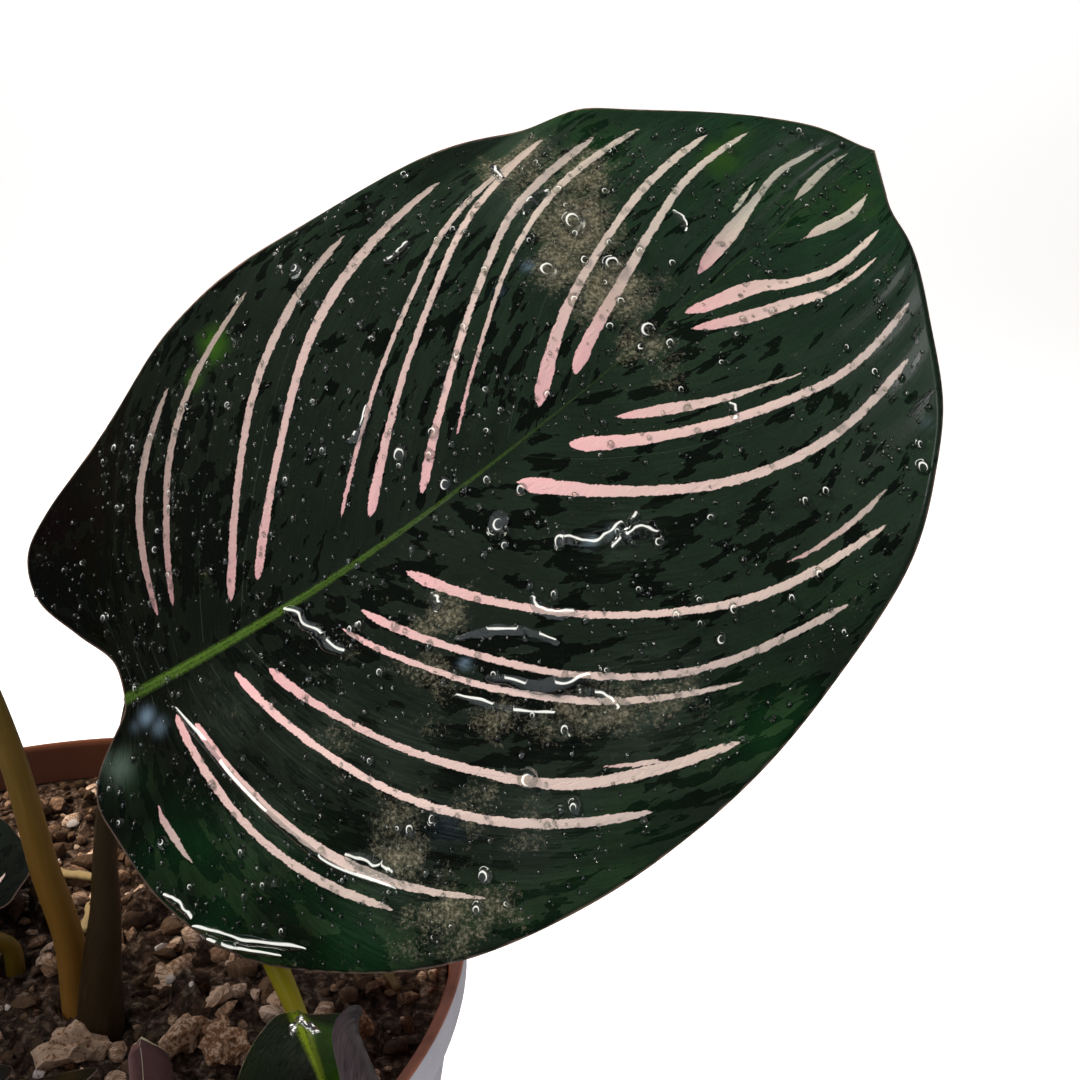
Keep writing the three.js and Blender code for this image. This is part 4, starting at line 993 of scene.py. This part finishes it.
def stalk_piece(name, leaf, material):
    """A stalk with the groove of its sheath low down, and the swollen joint right under the blade."""
    _, length = stalk_line(leaf, 10)
    steps = max(24, int(length / STALK_STEP))
    line, _ = stalk_line(leaf, steps)
    line = np.concatenate([line, into_midrib(leaf, line)])
    slopes = unit(np.gradient(line, axis=0))
    rings = steps + JOINT_STEPS
    across = np.array([1.0, 0.2, 0.0])
    points, place = [], []
    for step in range(rings + 1):
        share = min(step / steps, 1)
        across = across - slopes[step] * across.dot(slopes[step])
        across = across / np.linalg.norm(across)
        other = np.cross(slopes[step], across)
        radius = float(read_even(leaf["radii"], np.array(share)))
        radius = radius * (1 - JOINT_TAPER * smooth_step(step, steps, rings))
        sheath = 1 - smooth_step(share, 0.3, 0.62)
        for angle in angles(STALK_SIDES):
            turn = (angle + SHEATH_TURN + math.pi) % (2 * math.pi) - math.pi
            lip = 0.05 * math.exp(-((turn - 0.5) / 0.3) ** 2)
            groove = sheath * (0.16 * math.exp(-(turn / 0.22) ** 2) - lip)
            rib = 0.012 * math.sin(9 * angle)
            reach = radius * (1 - max(groove, 0) - rib * (1 - 0.4 * sheath)) * (0.985 if groove < 0.02 else 1)
            points.append(line[step] + (across * math.cos(angle) + other * math.sin(angle)) * reach)
            place.append((angle * radius, share * length, share))
    piece = new_piece(name, points, tube_faces(0, rings, STALK_SIDES), [material],
                      attributes={"stalk_place": place})
    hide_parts(name.replace("_petiole", "_stalk"))
    return piece


# Pot

def wall_outer(z):
    return WALL_TOP_RADIUS - WALL_TAPER * (POT_HEIGHT - z)


def wall_inner(z):
    return wall_outer(z) - WALL


def lathe(name, profile, materials, kinds, segments):
    """A closed body turned about Z from (radius, z) pairs that begin and end on the axis."""
    points, rows = [], []
    for radius, z in profile:
        rows.append([len(points) + (k if radius else 0) for k in range(segments)])
        points += circle(radius, z, segments) if radius else [(0, 0, z)]
    faces, face_material = [], []
    for row, (low, high) in enumerate(zip(rows, rows[1:])):
        for k in range(segments):
            face = dict.fromkeys((low[k], high[k], high[(k + 1) % segments], low[(k + 1) % segments]))
            faces.append(tuple(face)[::-1])
            face_material.append(kinds[row])
    return new_piece(name, points, faces, materials, face_material)


def pot_piece():
    channel_in, channel_out = DRAIN_CHANNEL
    band_foot = POT_HEIGHT - RIM_BAND
    top = POT_HEIGHT
    outside = [
        (0, 0), (channel_in - DRAIN_RISE, 0), (channel_in - 1.6, 0.3), (channel_in, DRAIN_RISE),
        (channel_out, DRAIN_RISE), (channel_out + 1.6, 0.3), (channel_out + DRAIN_RISE, 0),
        (wall_outer(0) - 0.8, 0), (wall_outer(0) - 0.2, 0.25), (wall_outer(0.8), 0.8),
        (wall_outer(40), 40), (wall_outer(80), 80), (wall_outer(band_foot - 0.4), band_foot - 0.4),
        (wall_outer(band_foot) + 0.1, band_foot), (RIM_RADIUS - 0.25, band_foot + 0.4),
        (RIM_RADIUS - 0.1, band_foot + 1), (RIM_RADIUS, top - 0.9), (RIM_RADIUS - 0.05, top - 0.45),
    ]
    inside = [
        (RIM_RADIUS - 0.25, top - 0.12), (RIM_RADIUS - 0.55, top), (RIM_INNER_RADIUS + 0.35, top),
        (RIM_INNER_RADIUS + 0.08, top - 0.2), (wall_inner(top - 1), top - 1), (wall_inner(80), 80),
        (wall_inner(40), 40), (wall_inner(FLOOR), FLOOR), (channel_out + DRAIN_RISE - 0.6, FLOOR),
        (channel_out - 0.6, FLOOR + DRAIN_RISE), (channel_in + 0.6, FLOOR + DRAIN_RISE),
        (channel_in + 0.6 - DRAIN_RISE, FLOOR), (0, FLOOR),
    ]
    pot = lathe("nursery_pot", outside + inside, [
        polypropylene("lavender_grey_polypropylene", "#b7b5bf", "#b0aeb9", 0.36),
        # The last colour is the painted shade of the back inner wall
        polypropylene("terracotta_polypropylene", "#a8664e", "#88503c", 0.42, "#5f3824"),
    ], [0] * (len(outside) - 1) + [1] * len(inside), POT_SEGMENTS)
    shape = bmesh.new()
    for hole in range(DRAIN_HOLES):
        angle = 2 * math.pi * (hole + 0.5) / DRAIN_HOLES
        cut = bmesh.ops.create_cone(shape, cap_ends=True, segments=28, radius1=DRAIN_HOLE_RADIUS * MM,
                                    radius2=DRAIN_HOLE_RADIUS * MM, depth=16 * MM)
        reach = (channel_in + channel_out) / 2 * MM
        shift = Vector((reach * math.cos(angle), reach * math.sin(angle), 0))
        bmesh.ops.translate(shape, verts=cut["verts"], vec=shift)
    cutter = bpy.data.objects.new("drain_cutters", bpy.data.meshes.new("drain_cutters"))
    shape.to_mesh(cutter.data)
    shape.free()
    SCENE.collection.objects.link(cutter)
    cut = pot.modifiers.new("drain_holes", "BOOLEAN")
    cut.operation = "DIFFERENCE"
    cut.solver = "EXACT"
    cut.object = cutter
    pot.data = bpy.data.meshes.new_from_object(pot.evaluated_get(bpy.context.evaluated_depsgraph_get()))
    pot.modifiers.clear()
    bpy.data.objects.remove(cutter)
    for polygon in pot.data.polygons:
        polygon.use_smooth = True
    pot.data.set_sharp_from_angle(angle=math.radians(38))
    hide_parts("pot")


# Soil

PACKED_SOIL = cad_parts["soil"].data
PACKED_SURFACE = BVHTree.FromPolygons([v.co for v in PACKED_SOIL.vertices],
                                      [tuple(p.vertices) for p in PACKED_SOIL.polygons])


def ground_height(x, y):
    """The height of the packed soil's surface, read from above."""
    hit = PACKED_SURFACE.ray_cast(Vector((x, y, 400)) * MM, Vector((0, 0, -1)))[0]
    return max(SOIL_LEVEL if hit is None else hit.z / MM, SOIL_LEVEL - 1.5)


def soil_piece():
    top_radius = wall_inner(SOIL_LEVEL) - SOIL_GAP
    points = [(0, 0, ground_height(0, 0))]
    for ring in range(1, SOIL_RINGS + 1):
        radius = top_radius * ring / SOIL_RINGS
        fade = min(1, (top_radius - radius) / 2)
        for x, y, _ in circle(radius, 0, SOIL_SEGMENTS):
            z = ground_height(x * 0.999, y * 0.999)
            crumb = noise.noise(Vector((x, y, 3)) / 3.1) * 0.9 + noise.noise(Vector((x, y, 9)) / 1.3) * 0.55
            points.append((x, y, z + crumb * fade))
    faces = [(0, 1 + k, 1 + (k + 1) % SOIL_SEGMENTS) for k in range(SOIL_SEGMENTS)]
    faces += tube_faces(1, SOIL_RINGS, SOIL_SEGMENTS, inward=True, capped=False)
    faces.append(tuple(len(points) + k for k in range(SOIL_SEGMENTS))[::-1])
    bottom = FLOOR + DRAIN_RISE + SOIL_GAP
    points += circle(wall_inner(bottom) - SOIL_GAP, bottom, SOIL_SEGMENTS)
    piece = new_piece("peat_bed", points, faces, [peat("damp_peat")])
    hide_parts("soil")


def bit_shape(rng, count, stretch, cuts, worn):
    """One broken bit about 2 across: the hull of scattered points, cut finer and worn by noise."""
    shape = bmesh.new()
    for _ in range(count):
        away = rng.normal(size=3)
        away = away / np.linalg.norm(away) * rng.uniform(0.75, 1.1)
        shape.verts.new(Vector(away * stretch))
    bmesh.ops.convex_hull(shape, input=shape.verts)
    bmesh.ops.delete(shape, geom=[v for v in shape.verts if not v.link_faces], context="VERTS")
    bmesh.ops.subdivide_edges(shape, edges=shape.edges[:], cuts=cuts, smooth=0.35, use_grid_fill=True)
    bmesh.ops.triangulate(shape, faces=shape.faces[:])
    shape.verts.index_update()
    seed = Vector(rng.uniform(0, 50, 3))
    for v in shape.verts:
        v.co *= 1 + worn * noise.noise(v.co * 1.7 + seed) + worn * 0.7 * noise.noise(v.co * 3.4 + seed)
    points = np.array([v.co for v in shape.verts])
    faces = np.array([[v.index for v in f.verts] for f in shape.faces])
    shape.free()
    return points, faces


def turned(rng, lean):
    """A random turn about Z with a lean from level."""
    spin, tip, way = rng.uniform(0, 2 * math.pi), rng.normal(0, lean), rng.uniform(0, 2 * math.pi)
    axis = np.array([math.cos(way), math.sin(way), 0])
    flat = np.array([[math.cos(spin), -math.sin(spin), 0], [math.sin(spin), math.cos(spin), 0], [0, 0, 1]])
    cross = np.array([[0, -axis[2], axis[1]], [axis[2], 0, -axis[0]], [-axis[1], axis[0], 0]])
    return (np.eye(3) + math.sin(tip) * cross + (1 - math.cos(tip)) * cross @ cross) @ flat


STALK_FEET = [(*leaf["foot"], max(leaf["radii"]) + 0.4) for leaf in LEAVES.values()]


def scatter_bits(name, seed, count, sizes, stretch, lean, material, tones, placed=(), cuts=1, worn=0.2):
    """Bits of one kind over the soil, each partly sunk. Some may be listed first, and the scattered
    ones keep clear of the stalks."""
    rng = np.random.default_rng(seed)
    shapes = [bit_shape(rng, rng.integers(9, 15), np.array(stretch) * rng.uniform(0.85, 1.15, 3), cuts, worn)
              for _ in range(BIT_SHAPES)]
    points, faces, places, tone, total = [], [], [], [], 0
    spots = list(placed)
    while len(spots) < count:
        size = sizes[0] + (sizes[1] - sizes[0]) * rng.random() ** 2.2
        reach = (wall_inner(SOIL_LEVEL) - size - 1) * math.sqrt(rng.random())
        angle = rng.uniform(0, 2 * math.pi)
        x, y = reach * math.cos(angle), reach * math.sin(angle)
        if all(math.hypot(x - fx, y - fy) > room + size for fx, fy, room in STALK_FEET):
            spots.append((x, y, size, rng.uniform(*tones)))
    for x, y, size, shade in spots:
        shape, hull = shapes[rng.integers(len(shapes))]
        matrix = turned(rng, lean)
        z = ground_height(x, y) + size * rng.uniform(0.05, 0.4)
        points.append(shape @ matrix.T * size + [x, y, z])
        faces.append(hull + total)
        places.append(shape * size + rng.uniform(0, 400, 3))
        tone.append(np.full(len(shape), shade))
        total += len(shape)
    piece = new_piece(name, np.concatenate(points), np.concatenate(faces).tolist(), [material],
                      attributes={"bit_place": np.concatenate(places), "bit_tone": np.concatenate(tone)})
    piece.data.set_sharp_from_angle(angle=math.radians(42))


def straw_piece():
    points, faces, place, tone = [], [], [], []
    for (x0, y0), (x1, y1), radius, shade in STRAWS:
        faces += tube_faces(len(points), STRAW_STEPS, STRAW_SIDES)
        z0 = ground_height(x0, y0) + radius + 0.7
        z1 = ground_height(x1, y1) + radius + 1.2
        highest = max(ground_height(x0 + (x1 - x0) * t, y0 + (y1 - y0) * t) for t in (0.25, 0.5, 0.75))
        middle = max((z0 + z1) / 2, highest + radius)
        way = unit(np.array([x1 - x0, y1 - y0, 0.0]))
        across = np.array([-way[1], way[0], 0])
        for step in range(STRAW_STEPS + 1):
            t = step / STRAW_STEPS
            centre = np.array([x0 + (x1 - x0) * t, y0 + (y1 - y0) * t,
                               z0 + (z1 - z0) * t + (middle - (z0 + z1) / 2) * 4 * t * (1 - t)])
            centre = centre + across * 0.5 * noise.noise(Vector((x0, y0, t * 3)))
            reach = radius * (0.9 + 0.25 * noise.noise(Vector((x1, y1, t * 6))))
            for angle in angles(STRAW_SIDES):
                lift = np.array([0, 0, 0.6 * math.sin(angle) * reach])
                points.append(centre + across * math.cos(angle) * reach + lift)
                place.append((angle * 2 + x0 * 9, y0 * 7, t * 60))
                tone.append(shade)
    straw = broken_bits("dry_straw", [(0.5, "#463420"), (0.9, "#74603c"), (1.3, "#a08a60")], (3, 3, 0.2),
                        0.6, 0.1)
    piece = new_piece("straws", points, faces, [straw], attributes={"bit_place": place, "bit_tone": tone})


# Water

def on_blade(halves, x, y):
    """The upper face's point and normal at a place on the flat blade, with the left half positive."""
    data = halves[0] if y >= 0 else halves[1]
    gap = np.hypot(data["flat"][..., 0] - x, data["flat"][..., 1] - abs(y))
    r, c = np.unravel_index(gap.argmin(), gap.shape)
    r, c = np.clip((r, c), 1, (gap.shape[0] - 2, gap.shape[1] - 2))
    flat, top = data["flat"], data["top"]
    slope = np.stack([flat[r + 1, c] - flat[r - 1, c], flat[r, c + 1] - flat[r, c - 1]], axis=-1) / 2
    da, db = np.clip(np.linalg.solve(slope, np.array([x, abs(y)]) - flat[r, c]), -1.5, 1.5)
    point = top[r, c] + da * (top[r + 1, c] - top[r - 1, c]) / 2 + db * (top[r, c + 1] - top[r, c - 1]) / 2
    return point, data["normal"][r, c]


def add_drop(points, faces, glints, point, normal, radius, stretch, height, rings, sides, rng):
    """A closed lens cap of water, stretched down the slope, with its underside a little below the surface."""
    down = unit(np.array([0, 0, -1]) + normal * normal[2])
    across = np.cross(normal, down)
    start = len(points)
    wobble = rng.uniform(0, 50)
    spin = rng.normal(0, 0.8)
    spread = rng.uniform(0.9, 1.5) if radius > LARGE_DROP else rng.uniform(1.4, 4.4)
    for ring in range(rings):
        reach = math.cos(math.pi / 2 * ring / rings)
        lift = math.sin(math.pi / 2 * ring / rings) ** 0.9
        for angle in angles(sides):
            swell = 1 + 0.16 * noise.noise(Vector((math.cos(angle) * 1.3, math.sin(angle) * 1.3, wobble)))
            out = (down * math.cos(angle) * stretch + across * math.sin(angle)) * radius * reach * swell
            points.append(point + out + normal * (height * lift - SUNK))
            turn, far = angle + spin, reach * spread
            glints.append((math.cos(turn) * far, math.sin(turn) * far, 0))
    points += [point + normal * (height - SUNK), point - normal * 0.1]
    glints += [(0, 0, 0), (2, 2, 0)]
    faces += tube_faces(start, rings - 1, sides, capped=False)
    crown, under = start + rings * sides, start + rings * sides + 1
    last = crown - sides
    for k in range(sides):
        faces.append((last + k, last + (k + 1) % sides, crown))
        faces.append((start + (k + 1) % sides, start + k, under))


def drops_piece(name, halves, seed, count, material, pools=()):
    """Drops scattered on the upper face, many small and few large, and the larger ones at given places."""
    rng = np.random.default_rng(seed)
    points, faces, glints = [], [], []
    for x, y, radius in pools:
        point, normal = on_blade(halves, x, y)
        add_drop(points, faces, glints, point, normal, radius, rng.uniform(1, 1.35), radius * 0.45, 8, 26,
                 rng)
    places, weights = [], []
    for data in halves:
        top = data["top"]
        area = np.linalg.norm(np.cross(top[1:, :-1] - top[:-1, :-1], top[:-1, 1:] - top[:-1, :-1]), axis=-1)
        area[:, 0] = 0
        area[:, -2:] = 0
        places += [(data, r, c) for r, c in np.ndindex(area.shape)]
        weights.append(area.ravel())
    weights = np.concatenate(weights)
    for index in rng.choice(len(places), size=count, p=weights / weights.sum()):
        data, r, c = places[index]
        x, y = data["flat"][r, c]
        gather = 0.5 + 0.5 * noise.noise(Vector((x, y * data["side"], 2)) / 11)
        if rng.random() > 2.2 * gather - 0.45:
            continue
        mix = rng.random(2)
        top = data["top"]
        point = top[r, c] + mix[0] * (top[r + 1, c] - top[r, c]) + mix[1] * (top[r, c + 1] - top[r, c])
        radius = 0.13 + 0.2 * rng.random() + 0.4 * rng.random() ** 6 + 0.4 * rng.random() ** 24
        rings, sides = (6, 18) if radius > 0.45 else (3, 8)
        add_drop(points, faces, glints, point, data["normal"][r, c], radius, rng.uniform(0.9, 1.6),
                 radius * rng.uniform(0.5, 0.8), rings, sides, rng)
    return new_piece(name, points, faces, [material], attributes={"glint_place": glints})


def trail_piece(name, halves, trails, material):
    """Water that runs down the leaf: low ridges with an uneven edge, closed underneath, and a broken thread
    of painted highlight along each."""
    points, faces, glints = [], [], []
    t = np.linspace(0, 1, TRAIL_STEPS + 1)
    for path, widths, depth in trails:
        x, y = (read_even([place[k] for place in path], t) for k in (0, 1))
        line, normals = (np.array(values) for values in zip(*(on_blade(halves, *pair) for pair in zip(x, y))))
        for _ in range(3):
            line[1:-1] = (line[:-2] + 2 * line[1:-1] + line[2:]) / 4
            normals[1:-1] = unit(normals[:-2] + 2 * normals[1:-1] + normals[2:])
        slopes = unit(np.gradient(line, axis=0))
        faces += tube_faces(len(points), TRAIL_STEPS, TRAIL_SIDES, inward=True)
        for step in range(TRAIL_STEPS + 1):
            left, right, swell, drift, gap = (
                noise.noise(Vector((t[step] * pace, offset + x[0], y[0])))
                for pace, offset in ((9, 0), (9, 7), (6, 30), (5, 60), (4, 90)))
            across = unit(np.cross(normals[step], slopes[step]))
            taper = math.sqrt(max(1 - (2 * t[step] - 1) ** 8, 0))
            reach = float(read_even(widths, t[step:step + 1])[0]) * taper + 0.02
            high = depth * (0.75 + 0.5 * swell) * taper
            middle = 0.25 + 0.6 * drift
            hidden = 3 * smooth_step(-gap, 0.12, 0.2)
            for angle in math.pi * np.arange(TRAIL_SIDES) / (TRAIL_SIDES - 1):
                side = math.cos(angle)
                lift = max(math.sin(angle), 0) ** 0.8 * high - 0.04
                width = reach * (1 + 0.45 * (left if side > 0 else right))
                points.append(line[step] + across * side * width + normals[step] * lift)
                glints.append((-0.4 + (side - middle) * 0.65 * reach, -0.1 + hidden, 0))
    return new_piece(name, points, faces, [material], attributes={"glint_place": glints})


# Stage, lights and camera

def make_camera():
    data = bpy.data.cameras.new("camera")
    data.sensor_width = CAMERA_SENSOR
    data.lens = CAMERA_LENS
    data.clip_start = 0.01
    camera = bpy.data.objects.new("camera", data)
    camera.location = Vector(CAMERA_PLACE) * MM
    camera.rotation_euler = (math.radians(90 - CAMERA_DOWN), 0, 0)
    SCENE.collection.objects.link(camera)
    SCENE.camera = camera


def make_stage():
    """A white floor that curves up into a backdrop, which the leaves don't mirror."""
    material, add = new_material("matt_white_sweep")
    tooth = add("TexNoise", {0: add("TexCoord").outputs["Object"], "Scale": per_mm(4), "Detail": 2.0})
    surface = add("BsdfPrincipled", {
        "Base Color": add("ValToRGB", {0: tooth}, [(0.3, "#f1f1f1"), (0.7, "#f6f6f6")]), "Roughness": 0.9,
        "Specular IOR Level": 0.1, "Emission Color": "#ffffff", "Emission Strength": 0.42})
    add("OutputMaterial", {"Surface": surface})
    cove = [(SWEEP_BACK + SWEEP_CURVE * math.sin(a), SWEEP_CURVE * (1 - math.cos(a)))
            for a in np.linspace(0.1, math.pi / 2, 12)]
    profile = [(-3000, 0), (SWEEP_BACK, 0), *cove, (SWEEP_BACK + SWEEP_CURVE, 3000)]
    points = [(side * SWEEP_HALF_WIDTH, y, z) for y, z in profile for side in (-1, 1)]
    faces = [(2 * k, 2 * k + 1, 2 * k + 3, 2 * k + 2) for k in range(len(profile) - 1)]
    sweep = new_object("sweep", points, faces, [material])
    sweep.visible_glossy = False


def add_light(name, place, size, power, colour, in_gloss):
    data = bpy.data.lights.new(name, "AREA")
    data.shape = "RECTANGLE"
    data.size, data.size_y = size
    data.energy = power
    data.color = linear(colour)[:3]
    light = bpy.data.objects.new(name, data)
    light.location = place
    light.rotation_euler = (Vector(LIGHTS_AIM) - Vector(place)).to_track_quat("-Z", "Y").to_euler()
    light.visible_glossy = in_gloss
    SCENE.collection.objects.link(light)


def make_lights():
    """A sun from high on the left and skylight from the front, which nothing mirrors, and a small panel on
    the right whose glints show. The camera sees the sky white, but it lights the plant much less."""
    SCENE.world = bpy.data.worlds.new("studio")
    SCENE.world.use_nodes = True
    SCENE.world.node_tree.nodes.clear()
    add = partial(add_node, SCENE.world.node_tree)
    path = add("LightPath").outputs
    strength = add("MapRange", {0: path["Is Camera Ray"], 3: 0.16, 4: 1})
    mirrored = add("MapRange", {0: path["Is Glossy Ray"], 3: 1, 4: 0.3})
    strength = add("Math", {0: strength, 1: mirrored}, operation="MULTIPLY")
    add("OutputWorld", {"Surface": add("Background", {"Color": "#f6f8ff", "Strength": strength})})
    add_light("sun_panel", (-0.72, 0.24, 1.08), (0.28, 0.28), 22, "#fff4e6", False)
    add_light("sky_panel", (-0.47, -0.66, 0.9), (0.9, 0.7), 4.6, "#f2f6ff", False)
    add_light("glint", (0.72, -0.22, 1.0), (0.2, 0.2), 0.7, "#ffffff", True)
    SCENE.view_settings.view_transform = "Standard"
    SCENE.view_settings.look = "None"


make_camera()
make_stage()
make_lights()

full_grown = calathea_upper(
    "calathea_leaf", ("#0d120a", "#161f17", "#1c2b1e", "#17321f"),
    ("#060905", "#070b07", "#080f09", "#081b0d"), ("#1e381c", "#0a2610"), ("#22320c", "#476322"), "#8f7468",
    0.0)
young = calathea_upper(
    "young_calathea_leaf", ("#0e170b", "#050805", "#060a05", "#0a1207"),
    ("#090f06", "#030502", "#030603", "#050a04"), ("#16281a", "#071a0b"), ("#263804", "#56660e"), "#b9ae92",
    -0.02)
wine = calathea_under("calathea_underside", "#3a1724", "#5a2838", "#6d6134")
grey_mauve = calathea_under("young_underside", "#120e10", "#3a3237", "#51474d")
mauve_brown = calathea_under("rolled_underside", "#351f1f", "#573838", "#a39a86")
FINISHES = {"young_right_leaf": [young, grey_mauve], "rolled_leaf": [young, mauve_brown]}

blades = {}
for leaf_name, leaf in LEAVES.items():
    midrib = Midrib(leaf)
    halves = [shape_half(leaf, midrib, side, leaf_name == "main_leaf") for side in ("left", "right")]
    blades[leaf_name] = halves
    blade = blade_piece(leaf_name + "_surface", halves, FINISHES.get(leaf_name, [full_grown, wine]))
    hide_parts(leaf_name + "_blade")

dark_petiole = petiole_skin("dark_petiole", "#2b2015", "#392c17", "#4c3d28")
gold_petiole = petiole_skin("gold_petiole", "#94652a", "#6a5414", "#86713a")
green_petiole = petiole_skin("green_petiole", "#6a5c14", "#958a16", "#aa9c3e")
SKINS = {"main_leaf": dark_petiole, "young_right_leaf": green_petiole}
for leaf_name, leaf in LEAVES.items():
    petiole = stalk_piece(leaf_name + "_petiole", leaf, SKINS.get(leaf_name, gold_petiole))

pot_piece()
soil_piece()
bark = broken_bits("pine_bark", [(0.4, "#221912"), (0.8, "#68503c"), (1.15, "#b08c70"), (1.5, "#dec2a9")],
                   (1 / 0.4, 1 / 2, 1 / 0.5), 0.8, 0.3)
clod = broken_bits("crumbly_clod", [(0.5, "#23170f"), (0.85, "#694630"), (1.1, "#a87c5a"), (1.4, "#dab89a")],
                   (1 / 0.7, 1 / 0.7, 1 / 0.7), 0.85, 0.6)
pumice = broken_bits("pumice", [(0.5, "#2f251e"), (0.9, "#7a6658"), (1.3, "#b39d8f"), (1.7, "#dcd0c6")],
                     (1 / 0.6, 1 / 0.6, 1 / 0.6), 0.92, 0.3)
orange = broken_bits("orange_bark", [(0.5, "#5a2708"), (1.0, "#b0601c"), (1.4, "#d08a3c")],
                     (1 / 0.5, 1 / 1.5, 1 / 0.5), 0.7, 0.3)
scatter_bits("bark_chips", 11, 1500, (0.7, 3), (1.15, 0.75, 0.55), 0.5, bark, (0, 0.6))
scatter_bits("soil_clods", 31, 90, (1.2, 3.2), (1, 0.9, 0.75), 0.6, clod, (0, 0.4), PLACED_CLODS, 5, 0.5)
scatter_bits("pumice_grit", 23, 200, (0.6, 1.7), (0.95, 0.85, 0.7), 0.7, pumice, (0.1, 0.7))
scatter_bits("orange_flecks", 47, 9, (0.8, 1.4), (1.2, 0.7, 0.5), 0.5, orange, (0.2, 0.5), PLACED_FLECKS)
straw_piece()

water = clear_water("tap_water")
drops_piece("water_drops", blades["main_leaf"], 5, 3900, water, WATER_POOLS)
trail_piece("water_trails", blades["main_leaf"], WATER_TRAILS, water)
trail_piece("young_leaf_water", blades["young_right_leaf"], YOUNG_LEAF_TRAILS, water)
